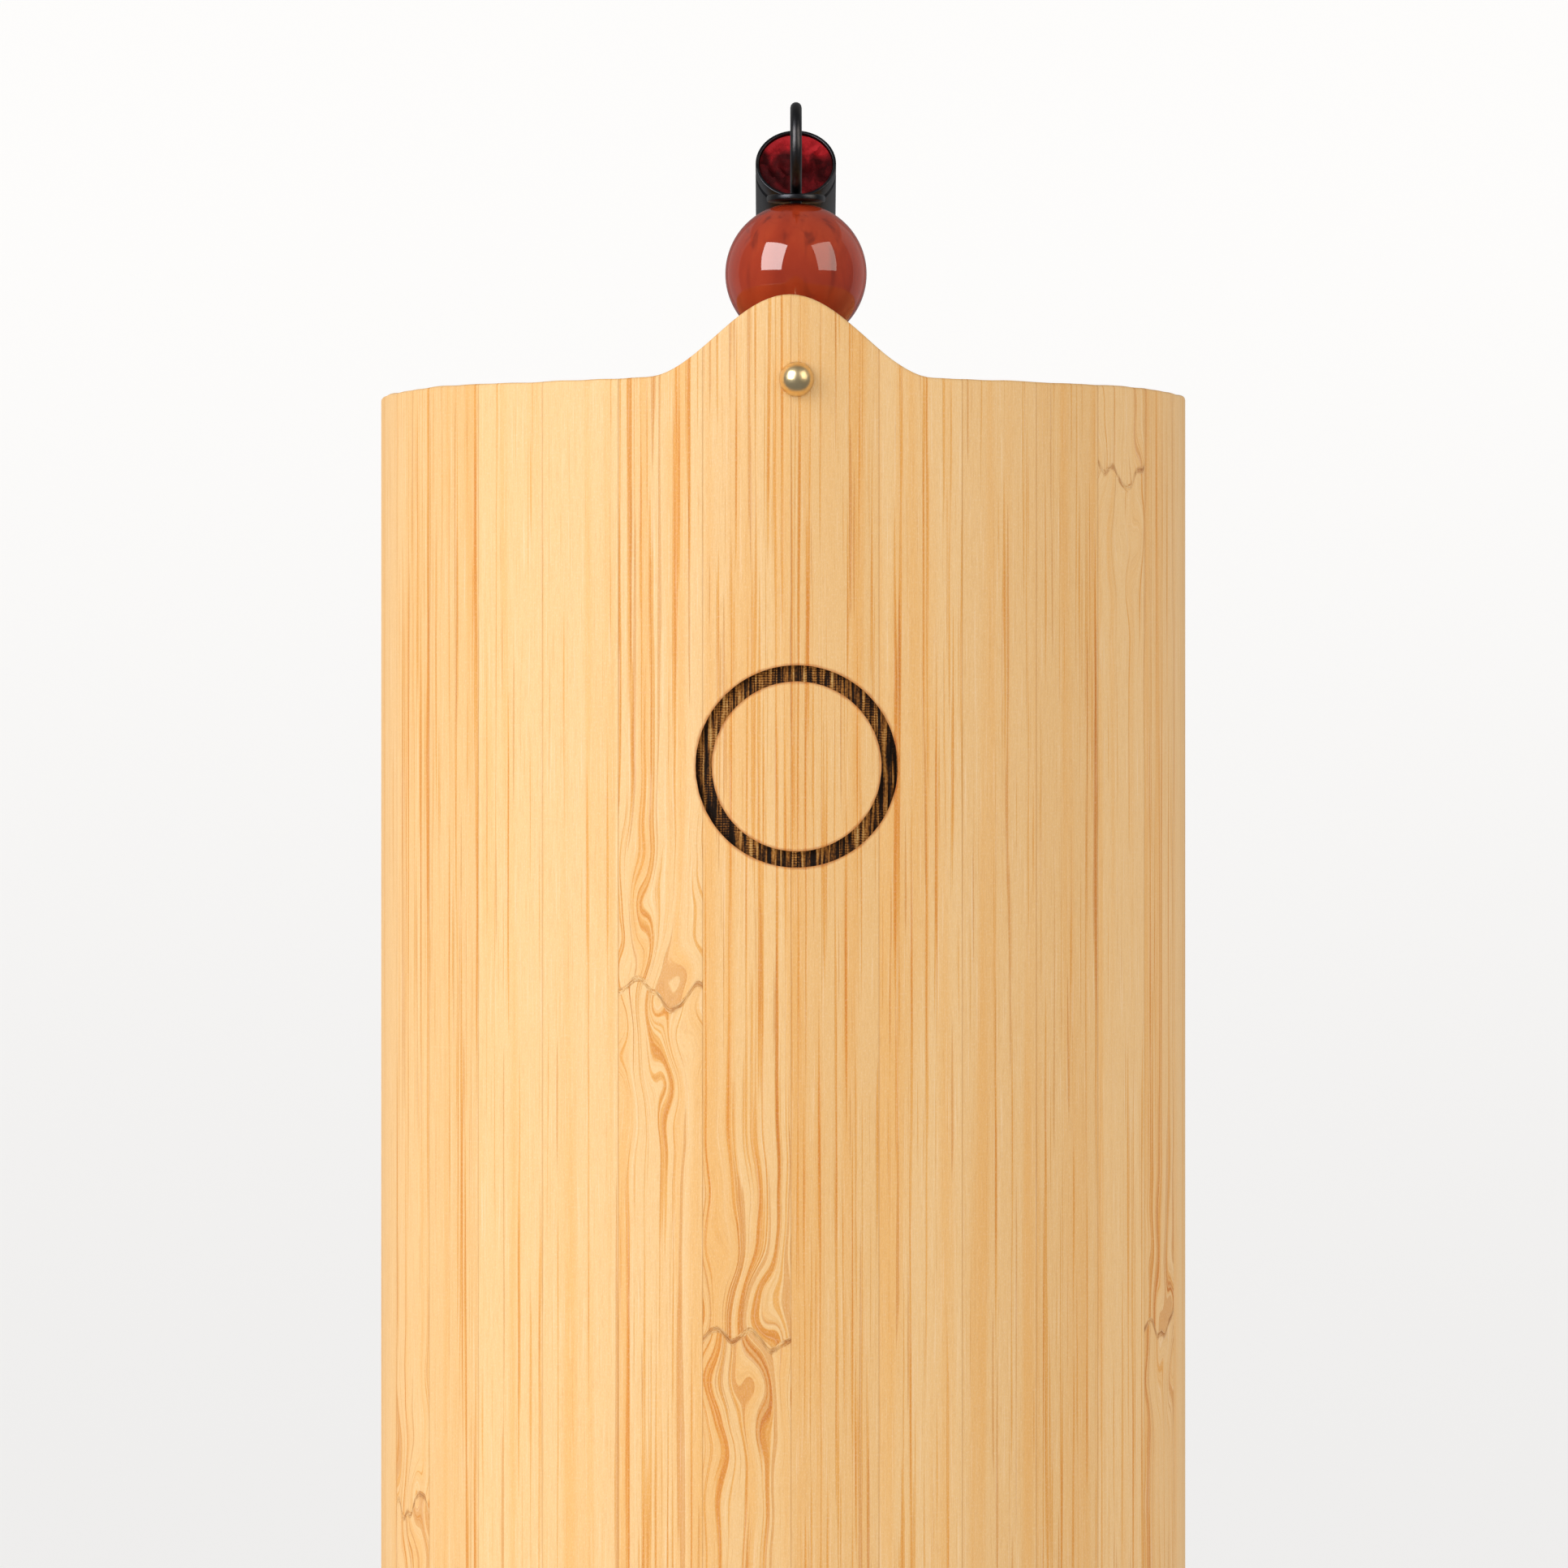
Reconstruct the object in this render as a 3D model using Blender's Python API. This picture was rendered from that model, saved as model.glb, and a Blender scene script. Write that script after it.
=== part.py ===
"""Wind chime: a rolled bamboo resonator tube with tuned rods inside, hung from a wire loop and a stone bead.

Metres, +Z up. The origin is the top inside of the hanging loop, where a hook bears.
The decorated side of the tube faces -Y. Every height below is worked out from the loop downwards.
"""

import math

import bmesh
import bpy
from mathutils import Matrix, Vector

MM = 0.001

# ---- driving sizes ---------------------------------------------------------

LOOP_WIRE = 0.9 * MM  # wire of the loop, the stem and the eye
LOOP_GAP_HEIGHT = 5.4 * MM  # clear height inside the loop
LOOP_GAP_WIDTH = 7.0 * MM  # clear width inside the loop, front to back

WASHER_WIDTH = 4.6 * MM
WASHER_THICK = 0.5 * MM
BEAD_WIDTH = 11.1 * MM
BEAD_STOP_WIDTH = 2.6 * MM
BEAD_STOP_HEIGHT = 1.5 * MM
BEAD_ABOVE_RIM = 4.15 * MM  # lowest point of the bead over the rim of the tube

TUBE_WIDTH = 63.0 * MM
TUBE_HEIGHT = 160.0 * MM  # to the level rim, without the ears
TUBE_WALL = 2.2 * MM
TUBE_SHIFT = -1.0 * MM  # along X: the rod's holes are drilled this much off the tube's middle line
EAR_HEIGHT = 6.0 * MM
EAR_HALF_ARC = 11.2 * MM  # along the outside of the tube
EAR_SHIFT = 0.5 * MM  # along X, from the tube's middle line to the middle of each ear

ROD_WIDTH = 1.5 * MM  # cross rod through both ears
ROD_BELOW_RIM = 0.35 * MM
ROD_PAST_WALL = 0.8 * MM  # how far the rod enters each cap
CAP_WIDTH = 2.4 * MM
CAP_FLANGE_WIDTH = 2.7 * MM
CAP_FLANGE_THICK = 0.25 * MM
COLLAR_WIDTH = 3.2 * MM
COLLAR_LENGTH = 1.6 * MM
SPACER_WIDTH = 2.4 * MM
SPACER_LENGTH = 2.4 * MM

ENGRAVED_WIDTH = 15.0 * MM  # the plain ring engraved in the tube's front, outer width
ENGRAVED_LINE = 1.2 * MM
ENGRAVED_DEPTH = 0.5 * MM
ENGRAVED_BELOW_RIM = 29.0 * MM  # middle of the ring, straight below the rod
ENGRAVED_SIDES = 48

SLEEVE_WIDTH = 6.4 * MM
SLEEVE_LENGTH = 10.0 * MM
SLEEVE_WALL = 0.25 * MM
SLEEVE_BEHIND = 6.5 * MM  # middle of its mouth behind the stem
SLEEVE_BELOW_TOP = 3.25 * MM  # middle of its mouth under the top inside of the loop
SLEEVE_TILT = math.radians(30)
STUB_RECESS = 0.35 * MM
PRONG_WIDTH = 0.7 * MM
PRONG_IN_STUB = 2.5 * MM

YOKE_WALL = 0.7 * MM
YOKE_BREADTH = 2.6 * MM
YOKE_DROP = 4.3 * MM  # rod to the top of the yoke's bridge
STRIKER_WIDTH = 24.0 * MM
STRIKER_THICK = 5.0 * MM
STRIKER_DROP = 78.0 * MM  # rod to the middle of the striker
CORD_WIDTH = 1.2 * MM
TOP_KNOT_WIDTH = 1.9 * MM
KNOT_WIDTH = 3.4 * MM
KNOT_HEIGHT = 1.6 * MM
DROP_BEAD_WIDTH = 2.6 * MM
DROP_BEAD_BELOW = 6.5 * MM  # middle of the striker to the middle of the bead under it

BASE_THICK = 8.0 * MM
PLATE_WIDTH = 53.0 * MM
PLATE_THICK = 3.0 * MM
PLATE_HOLE = 10.0 * MM
TONE_COUNT = 8
TONE_WIDTH = 3.0 * MM
TONE_CIRCLE = 44.0 * MM
TONE_LONGEST = 110.0 * MM
TONE_STEP = 3.5 * MM  # each rod is this much shorter than the one before it in pitch
TONE_ORDER = (0, 4, 1, 5, 2, 6, 3, 7)  # pitch order around the plate
SOCKET_DEPTH = 1.5 * MM
SCREW_COUNT = 3
SCREW_CIRCLE = 26.0 * MM
SCREW_WIDTH = 2.4 * MM
SCREW_HEAD_WIDTH = 4.4 * MM
SCREW_HEAD_HEIGHT = 1.2 * MM
SCREW_IN_BASE = 5.0 * MM
GROMMET_BORE = 4.0 * MM
GROMMET_WALL = 1.2 * MM
GROMMET_FLANGE_WIDTH = 10.0 * MM
GROMMET_FLANGE_THICK = 0.8 * MM

GUIDE_BEAD_WIDTH = 4.8 * MM
SAIL_CORD_LENGTH = 85.0 * MM
SAIL_KNOT_WIDTH = 2.8 * MM
RING_WIDTH = 6.8 * MM
RING_WIRE = 0.8 * MM
SAIL_WIDTH = 48.0 * MM
SAIL_THICK = 1.6 * MM
SAIL_HOLE = 2.4 * MM
SAIL_HOLE_FROM_EDGE = 3.0 * MM

# ---- clearances ------------------------------------------------------------

RUNNING = 0.1 * MM  # on the radius of what turns on a wire or a rod
SNUG = 0.05 * MM  # on the radius of what is pressed or glued in
FACE_GAP = 0.1 * MM  # between small faces that meet
SEAT_GAP = 0.3 * MM  # between large faces that meet

# ---- heights and radii that follow -----------------------------------------

WIRE_R = LOOP_WIRE / 2
LOOP_BOTTOM = -LOOP_GAP_HEIGHT - LOOP_WIRE
WASHER_TOP = LOOP_BOTTOM - SNUG
BEAD_TOP = WASHER_TOP - WASHER_THICK - FACE_GAP
BEAD_MIDDLE = BEAD_TOP - BEAD_WIDTH / 2
BEAD_BOTTOM = BEAD_TOP - BEAD_WIDTH
STOP_TOP = BEAD_BOTTOM - FACE_GAP
RIM_Z = BEAD_BOTTOM - BEAD_ABOVE_RIM
TUBE_BOTTOM = RIM_Z - TUBE_HEIGHT
TUBE_R = TUBE_WIDTH / 2
TUBE_INNER_R = TUBE_R - TUBE_WALL
OUTER_FACE = math.sqrt(TUBE_R**2 - TUBE_SHIFT**2)  # outside of the wall along the rod
ROD_Z = RIM_Z - ROD_BELOW_RIM
ROD_R = ROD_WIDTH / 2
EYE_R = ROD_R + RUNNING + WIRE_R  # middle line of the eye around the rod
CORD_R = CORD_WIDTH / 2

YOKE_INNER = max(WIRE_R, TOP_KNOT_WIDTH / 2) + RUNNING  # half the space between its cheeks
YOKE_OUTER = YOKE_INNER + YOKE_WALL
BRIDGE_TOP = ROD_Z - YOKE_DROP
BRIDGE_BOTTOM = BRIDGE_TOP - YOKE_WALL
TOP_KNOT_Z = BRIDGE_TOP + FACE_GAP + TOP_KNOT_WIDTH / 2
STRIKER_Z = ROD_Z - STRIKER_DROP
DROP_Z = STRIKER_Z - DROP_BEAD_BELOW

BASE_TOP = TUBE_BOTTOM + BASE_THICK
PLATE_BOTTOM = BASE_TOP + SEAT_GAP
PLATE_TOP = PLATE_BOTTOM + PLATE_THICK
GROMMET_R = GROMMET_BORE / 2 + GROMMET_WALL
FLANGE_BOTTOM = TUBE_BOTTOM - FACE_GAP - GROMMET_FLANGE_THICK
GUIDE_Z = FLANGE_BOTTOM - SEAT_GAP - GUIDE_BEAD_WIDTH / 2

SAIL_CORD_TOP = GUIDE_Z - GUIDE_BEAD_WIDTH / 2 - SEAT_GAP
SAIL_CORD_END = SAIL_CORD_TOP - SAIL_CORD_LENGTH
SAIL_KNOT_Z = SAIL_CORD_END - FACE_GAP - SAIL_KNOT_WIDTH / 2
RING_R = (RING_WIDTH - RING_WIRE) / 2  # middle line of the ring
RING_Z = SAIL_KNOT_Z - SAIL_KNOT_WIDTH / 2 - SEAT_GAP - RING_WIDTH / 2
RING_RISE = RING_R - math.sqrt(RING_R**2 - (SAIL_THICK / 2) ** 2)  # of the wire across the sail's hole
SAIL_HOLE_Z = RING_Z - RING_R + RING_WIRE / 2 + RING_RISE + FACE_GAP - SAIL_HOLE / 2
SAIL_Z = SAIL_HOLE_Z + SAIL_HOLE_FROM_EDGE - SAIL_WIDTH / 2

# ---- materials -------------------------------------------------------------

FINISHES = {
    "bamboo": ((0.86, 0.60, 0.33), 0.42, 0.0),
    "brass": ((0.83, 0.62, 0.28), 0.25, 1.0),
    "black_wire": ((0.03, 0.03, 0.032), 0.4, 1.0),
    "black_metal": ((0.035, 0.035, 0.04), 0.35, 1.0),
    "jasper": ((0.43, 0.10, 0.04), 0.12, 0.0),
    "red_cord": ((0.42, 0.01, 0.015), 0.8, 0.0),
    "dark_cord": ((0.05, 0.035, 0.03), 0.85, 0.0),
    "steel": ((0.72, 0.73, 0.75), 0.22, 1.0),
    "hardwood": ((0.36, 0.19, 0.09), 0.5, 0.0),
    "pale_wood": ((0.74, 0.52, 0.31), 0.5, 0.0),
}


def clear_scene():
    for old in list(bpy.data.objects):
        bpy.data.objects.remove(old, do_unlink=True)


def finish(name):
    """The Principled material of a finish, made once."""
    if name in bpy.data.materials:
        return bpy.data.materials[name]
    colour, roughness, metallic = FINISHES[name]
    material = bpy.data.materials.new(name)
    material.use_nodes = True
    shader = material.node_tree.nodes["Principled BSDF"]
    shader.inputs["Base Color"].default_value = (*colour, 1)
    shader.inputs["Roughness"].default_value = roughness
    shader.inputs["Metallic"].default_value = metallic
    return material


# ---- making and placing ----------------------------------------------------


def pivot(name, height):
    """An empty on a joint, which the pieces of the moving body are parented to."""
    empty = bpy.data.objects.new(name, None)
    empty.empty_display_size = 5 * MM
    empty.location = (0, 0, height)
    bpy.context.scene.collection.objects.link(empty)
    return empty


def put(piece, parent, place, turn=(0, 0, 0)):
    """Parents a piece to a pivot and sets where it is, given in the part's own frame."""
    bpy.context.scene.collection.objects.link(piece)
    piece.parent = parent
    piece.location = Vector(place) - parent.location
    piece.rotation_euler = turn
    return piece


def mesh_object(name, bm, colour):
    """A smooth-shaded object from a bmesh whose faces are turned outwards."""
    bmesh.ops.recalc_face_normals(bm, faces=bm.faces)
    mesh = bpy.data.meshes.new(name)
    bm.to_mesh(mesh)
    bm.free()
    mesh.shade_smooth()
    mesh.set_sharp_from_angle(angle=math.radians(35))
    mesh.materials.append(finish(colour))
    return bpy.data.objects.new(name, mesh)


def turned(name, outline, sides, colour, ring=False):
    """A piece turned about Z from (radius, height) points. A ring's outline closes on itself, off the axis."""
    bm = bmesh.new()
    verts = [bm.verts.new((radius, 0, height)) for radius, height in outline]
    edges = [bm.edges.new(pair) for pair in zip(verts, verts[1:])]
    if ring:
        edges.append(bm.edges.new((verts[-1], verts[0])))
    bmesh.ops.spin(
        bm,
        geom=verts + edges,
        axis=(0, 0, 1),
        cent=(0, 0, 0),
        angle=math.tau,
        steps=sides,
        use_merge=True,
    )
    bmesh.ops.remove_doubles(bm, verts=bm.verts, dist=0.001 * MM)
    return mesh_object(name, bm, colour)


def sleeve_outline(inner, outer, low, high):
    return [(inner, low), (outer, low), (outer, high), (inner, high)]


def ball_outline(radius, steps):
    """Half a circle from pole to pole."""
    angles = [math.pi * k / steps for k in range(steps + 1)]
    return [(radius * math.sin(a), -radius * math.cos(a)) for a in angles]


def drilled_ball_outline(radius, bore, steps):
    """A ball with a hole through it, as a ring outline."""
    start = math.asin(bore / radius)
    angles = [start + (math.pi - 2 * start) * k / steps for k in range(steps + 1)]
    return [(radius * math.sin(a), -radius * math.cos(a)) for a in angles]


def rounded_ring_outline(inner, outer, height, corner):
    """A flat ring whose outer edge is rounded with three points a corner."""
    arc = [math.radians(90 * k / 2) for k in range(3)]
    half = height / 2
    low = [(outer - corner + corner * math.sin(a), -half + corner - corner * math.cos(a)) for a in arc]
    high = [(r, -z) for r, z in reversed(low)]
    return [(inner, -half)] + low + high + [(inner, half)]


def wire(name, points, width, colour, closed=False, sides=2):
    """A wire along points, as a mesh, so that Booleans can join it to others."""
    path = curve(name, points, width, colour, closed, sides)
    bpy.context.scene.collection.objects.link(path)
    mesh = bpy.data.meshes.new_from_object(path.evaluated_get(bpy.context.evaluated_depsgraph_get()))
    bpy.data.objects.remove(path, do_unlink=True)
    bm = bmesh.new()
    bm.from_mesh(mesh)
    bpy.data.meshes.remove(mesh)
    bmesh.ops.remove_doubles(bm, verts=bm.verts, dist=0.001 * MM)
    return mesh_object(name, bm, colour)


def curve(name, points, width, colour, closed=False, sides=2):
    """A round curve with filled ends through points."""
    data = bpy.data.curves.new(name, "CURVE")
    data.dimensions = "3D"
    spline = data.splines.new("POLY")
    spline.points.add(len(points) - 1)
    for spot, point in zip(spline.points, points):
        spot.co = (*point, 1)
    spline.use_cyclic_u = closed
    data.bevel_depth = width / 2
    data.bevel_resolution = sides
    data.use_fill_caps = not closed
    data.materials.append(finish(colour))
    return bpy.data.objects.new(name, data)


def boolean(piece, tool, operation):
    """A live Boolean with a helper that is not part of the model."""
    tool.hide_render = True
    tool.display_type = "WIRE"
    modifier = piece.modifiers.new(tool.name, "BOOLEAN")
    modifier.operation = operation
    modifier.solver = "EXACT"
    modifier.object = tool


def drill(name, holes, sides=12):
    """Round cutters in one mesh. Each hole is (radius, start, end)."""
    bm = bmesh.new()
    for radius, start, end in holes:
        along = Vector(end) - Vector(start)
        turn = along.to_track_quat("Z", "Y").to_matrix().to_4x4()
        middle = Matrix.Translation((Vector(start) + Vector(end)) / 2)
        bmesh.ops.create_cone(
            bm,
            cap_ends=True,
            segments=sides,
            radius1=radius,
            radius2=radius,
            depth=along.length,
            matrix=middle @ turn,
        )
    return mesh_object(name, bm, "steel")


def on_circle(diameter, index, count, first=0.0):
    """A spot on a circle about the tube's middle line."""
    angle = first + math.tau * index / count
    return TUBE_SHIFT + diameter / 2 * math.cos(angle), diameter / 2 * math.sin(angle)


ALONG_Y = (-math.pi / 2, 0, 0)  # turns a piece made about Z so that it runs along +Y

# ---- hanger ----------------------------------------------------------------


def oval_points(half_height, half_width, arc_steps):
    """The middle line of the loop, about its own middle: two half circles and two short straights."""
    straight = half_width - half_height
    points = []
    for side, first in ((1, -math.pi / 2), (-1, math.pi / 2)):
        for k in range(arc_steps + 1):
            angle = first + math.pi * k / arc_steps
            points.append((0, side * straight + half_height * math.cos(angle), half_height * math.sin(angle)))
    return points


def make_hanger(parent):
    half_height = (LOOP_GAP_HEIGHT + LOOP_WIRE) / 2
    half_width = (LOOP_GAP_WIDTH + LOOP_WIRE) / 2
    loop_middle = (0, 0, -LOOP_GAP_HEIGHT / 2)
    loop = wire("hanger_wire", oval_points(half_height, half_width, 11), LOOP_WIRE, "black_wire", closed=True)
    put(loop, parent, loop_middle)

    stem_top = LOOP_BOTTOM + WIRE_R
    stem_end = ROD_Z + EYE_R
    stem = drill("stem", [(WIRE_R, (0, 0, stem_end), (0, 0, stem_top))])
    put(stem, parent, (0, 0, 0))

    eye_points = [(EYE_R * math.sin(a), 0, EYE_R * math.cos(a)) for a in (math.tau * k / 20 for k in range(20))]
    eye = wire("eye", eye_points, LOOP_WIRE, "black_wire", closed=True)
    put(eye, parent, (0, 0, ROD_Z))

    mouth = Vector((0, SLEEVE_BEHIND, -SLEEVE_BELOW_TOP))
    back = Vector((0, math.cos(SLEEVE_TILT), -math.sin(SLEEVE_TILT)))
    strand = mouth - back * (SLEEVE_BEHIND - half_width) / math.cos(SLEEVE_TILT)
    prong_tip = mouth + back * PRONG_IN_STUB
    prong = drill("prong", [(PRONG_WIDTH / 2, strand, prong_tip)], sides=10)
    put(prong, parent, (0, 0, 0))
    for tool in (stem, eye, prong):
        boolean(loop, tool, "UNION")

    lean = (-math.pi / 2 - SLEEVE_TILT, 0, 0)
    bore = SLEEVE_WIDTH / 2 - SLEEVE_WALL
    sleeve = turned(
        "cord_end_sleeve", sleeve_outline(bore, SLEEVE_WIDTH / 2, 0, SLEEVE_LENGTH), 24, "black_metal", ring=True
    )
    put(sleeve, parent, mouth, lean)
    stub_r = bore - SNUG
    hole_r = PRONG_WIDTH / 2 + SNUG
    hole_end = PRONG_IN_STUB + FACE_GAP
    outline = [
        (hole_r, STUB_RECESS),
        (stub_r - STUB_RECESS, STUB_RECESS),
        (stub_r, 2 * STUB_RECESS),
        (stub_r, SLEEVE_LENGTH),
        (0, SLEEVE_LENGTH),
        (0, hole_end),
        (hole_r, hole_end),
        (hole_r, STUB_RECESS),
    ]
    put(turned("red_cord_stub", outline, 24, "red_cord"), parent, mouth, lean)

    bore = WIRE_R + SNUG
    washer = turned(
        "top_washer", sleeve_outline(bore, WASHER_WIDTH / 2, -WASHER_THICK, 0), 24, "black_metal", ring=True
    )
    put(washer, parent, (0, 0, WASHER_TOP))
    stop = turned(
        "bead_stop", sleeve_outline(bore, BEAD_STOP_WIDTH / 2, -BEAD_STOP_HEIGHT, 0), 16, "black_metal", ring=True
    )
    put(stop, parent, (0, 0, STOP_TOP))


def make_bead(parent):
    outline = drilled_ball_outline(BEAD_WIDTH / 2, WIRE_R + RUNNING, 14)
    put(turned("stone_bead", outline, 28, "jasper", ring=True), parent, (0, 0, BEAD_MIDDLE))


# ---- resonator tube --------------------------------------------------------


def ear_rise(angle):
    """Height of the rim over its level part, at an angle about the tube's own middle line."""
    shift = EAR_SHIFT / TUBE_R
    ears = (-math.pi / 2 + shift, math.pi / 2 - shift)
    from_ear = min(abs(angle - ear) for ear in ears) * TUBE_R
    if from_ear >= EAR_HALF_ARC:
        return 0.0
    return EAR_HEIGHT * math.cos(math.pi / 2 * from_ear / EAR_HALF_ARC) ** 2


def make_engraving_cutter(parent):
    """The cutter for the ring-shaped groove: a strip on the groove's floor, drawn out past the tube."""
    floor_r = TUBE_R - ENGRAVED_DEPTH
    bm = bmesh.new()

    def circle(radius):
        turns = [math.tau * k / ENGRAVED_SIDES for k in range(ENGRAVED_SIDES)]
        spots = [(radius * math.cos(turn), radius * math.sin(turn)) for turn in turns]
        return [bm.verts.new((x, -math.sqrt(floor_r**2 - (x - TUBE_SHIFT) ** 2), z)) for x, z in spots]

    outer, inner = circle(ENGRAVED_WIDTH / 2), circle(ENGRAVED_WIDTH / 2 - ENGRAVED_LINE)
    for k in range(ENGRAVED_SIDES):
        after = (k + 1) % ENGRAVED_SIDES
        bm.faces.new((outer[k], outer[after], inner[after], inner[k]))
    drawn = bmesh.ops.extrude_face_region(bm, geom=bm.faces[:])
    for vert in drawn["geom"]:
        if isinstance(vert, bmesh.types.BMVert):
            vert.co.y = -TUBE_R - ENGRAVED_DEPTH
    return put(mesh_object("engraving_cutter", bm, "bamboo"), parent, (0, 0, RIM_Z - ENGRAVED_BELOW_RIM))


def make_tube(parent):
    outline = sleeve_outline(TUBE_INNER_R, TUBE_R, -TUBE_HEIGHT, 0)
    tube = turned("resonator_tube", outline, 96, "bamboo", ring=True)
    for vert in tube.data.vertices:
        if vert.co.z > -TUBE_HEIGHT / 2:
            vert.co.z += ear_rise(math.atan2(vert.co.y, vert.co.x))
    put(tube, parent, (TUBE_SHIFT, 0, RIM_Z))
    reach = TUBE_R + 1 * MM
    hole = drill("rod_hole", [(ROD_R + SNUG, (0, -reach, ROD_Z), (0, reach, ROD_Z))])
    put(hole, parent, (0, 0, 0))
    boolean(tube, hole, "DIFFERENCE")
    boolean(tube, make_engraving_cutter(parent), "DIFFERENCE")


def make_rod(parent):
    """The cross rod, with a domed cap outside each ear and a collar inside it, and spacers by the yoke."""
    half = OUTER_FACE + FACE_GAP + ROD_PAST_WALL
    rod = turned("cross_rod", [(0, -half), (ROD_R, -half), (ROD_R, half), (0, half)], 16, "brass")
    put(rod, parent, (0, 0, ROD_Z), ALONG_Y)
    bore = ROD_R + SNUG
    blind = ROD_PAST_WALL + FACE_GAP
    dome = CAP_WIDTH / 2
    arc = [(dome * math.cos(a), CAP_FLANGE_THICK + dome * math.sin(a)) for a in (math.pi / 2 * k / 5 for k in range(6))]
    flange = CAP_FLANGE_WIDTH / 2
    cap = [(0, blind), (bore, blind), (bore, 0), (flange, 0), (flange, CAP_FLANGE_THICK)] + arc[:-1]
    cap.append((0, CAP_FLANGE_THICK + dome))
    collar_edge = COLLAR_WIDTH / 2 + abs(TUBE_SHIFT)
    collar_face = math.sqrt(TUBE_INNER_R**2 - collar_edge**2) - FACE_GAP
    spacer_face = YOKE_OUTER + FACE_GAP
    for side, which in ((-1, "front"), (1, "rear")):
        turn = (-side * math.pi / 2, 0, 0)
        put(turned(f"{which}_rod_cap", cap, 14, "brass"), parent, (0, side * (OUTER_FACE + FACE_GAP), ROD_Z), turn)
        collar = sleeve_outline(bore, COLLAR_WIDTH / 2, -COLLAR_LENGTH, 0)
        put(
            turned(f"{which}_rod_collar", collar, 16, "brass", ring=True),
            parent,
            (0, side * collar_face, ROD_Z),
            turn,
        )
        spacer = sleeve_outline(bore, SPACER_WIDTH / 2, 0, SPACER_LENGTH)
        put(
            turned(f"{which}_spacer", spacer, 16, "brass", ring=True),
            parent,
            (0, side * spacer_face, ROD_Z),
            turn,
        )


# ---- tone rods and the bottom of the tube ----------------------------------


def make_bottom(parent):
    base_r = TUBE_INNER_R - SEAT_GAP
    outline = rounded_ring_outline(0, base_r, BASE_THICK, 0.6 * MM)
    base = turned("base_disc", outline, 48, "hardwood")
    put(base, parent, (TUBE_SHIFT, 0, TUBE_BOTTOM + BASE_THICK / 2))
    bush_hole = (GROMMET_R + SNUG, (0, 0, TUBE_BOTTOM - BASE_THICK), (0, 0, BASE_TOP + BASE_THICK))
    boolean(base, put(drill("bush_hole", [bush_hole], sides=24), parent, (0, 0, 0)), "DIFFERENCE")
    plate = turned(
        "tone_plate", sleeve_outline(PLATE_HOLE / 2, PLATE_WIDTH / 2, 0, PLATE_THICK), 48, "steel", ring=True
    )
    put(plate, parent, (TUBE_SHIFT, 0, PLATE_BOTTOM))

    first = math.pi / TONE_COUNT
    spots = [on_circle(TONE_CIRCLE, k, TONE_COUNT, first) for k in range(TONE_COUNT)]
    socket_floor = PLATE_TOP - SOCKET_DEPTH
    above = PLATE_TOP + SOCKET_DEPTH
    sockets = [(TONE_WIDTH / 2 + SNUG, (x, y, socket_floor), (x, y, above)) for x, y in spots]
    boolean(plate, put(drill("tone_sockets", sockets), parent, (0, 0, 0)), "DIFFERENCE")
    for k, (x, y) in enumerate(spots):
        make_tone_rod(parent, k, (x, y, socket_floor + FACE_GAP))

    screws = [on_circle(SCREW_CIRCLE, k, SCREW_COUNT, math.pi / 2) for k in range(SCREW_COUNT)]
    screw_end = BASE_TOP - SCREW_IN_BASE
    shanks = [(SCREW_WIDTH / 2 + RUNNING, (x, y, screw_end - FACE_GAP), (x, y, above)) for x, y in screws]
    holes = put(drill("screw_holes", shanks), parent, (0, 0, 0))
    boolean(plate, holes, "DIFFERENCE")
    boolean(base, holes, "DIFFERENCE")
    for k, (x, y) in enumerate(screws):
        make_screw(parent, k, (x, y, PLATE_TOP + FACE_GAP), screw_end)
    make_grommet(parent)


def make_tone_rod(parent, index, foot):
    length = TONE_LONGEST - TONE_STEP * TONE_ORDER[index]
    radius = TONE_WIDTH / 2
    edge = 0.3 * MM
    outline = [(0, 0), (radius, 0), (radius, length - edge), (radius - edge, length), (0, length)]
    put(turned(f"tone_rod_{index + 1}", outline, 14, "steel"), parent, foot)


def make_screw(parent, index, seat, end):
    """A pan-head screw down through the plate into the base. It is made about the seat of its head."""
    head = SCREW_HEAD_WIDTH / 2
    shank = SCREW_WIDTH / 2
    length = seat[2] - end
    outline = [
        (0, -length),
        (shank / 2, -length),
        (shank, -length + shank),
        (shank, 0),
        (head, 0),
        (head, SCREW_HEAD_HEIGHT / 2),
        (head * 0.75, SCREW_HEAD_HEIGHT),
        (0, SCREW_HEAD_HEIGHT),
    ]
    put(turned(f"plate_screw_{index + 1}", outline, 14, "steel"), parent, seat)


def make_grommet(parent):
    """The bush in the middle of the base, which the cord runs through. Its flange is under the base."""
    bore = GROMMET_BORE / 2
    flange = GROMMET_FLANGE_WIDTH / 2
    top = BASE_THICK + FACE_GAP
    low = -GROMMET_FLANGE_THICK
    outline = [(bore, low), (flange, low), (flange, 0), (GROMMET_R, 0), (GROMMET_R, top), (bore, top)]
    put(turned("cord_grommet", outline, 24, "brass", ring=True), parent, (0, 0, TUBE_BOTTOM - FACE_GAP))


# ---- striker ---------------------------------------------------------------


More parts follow.
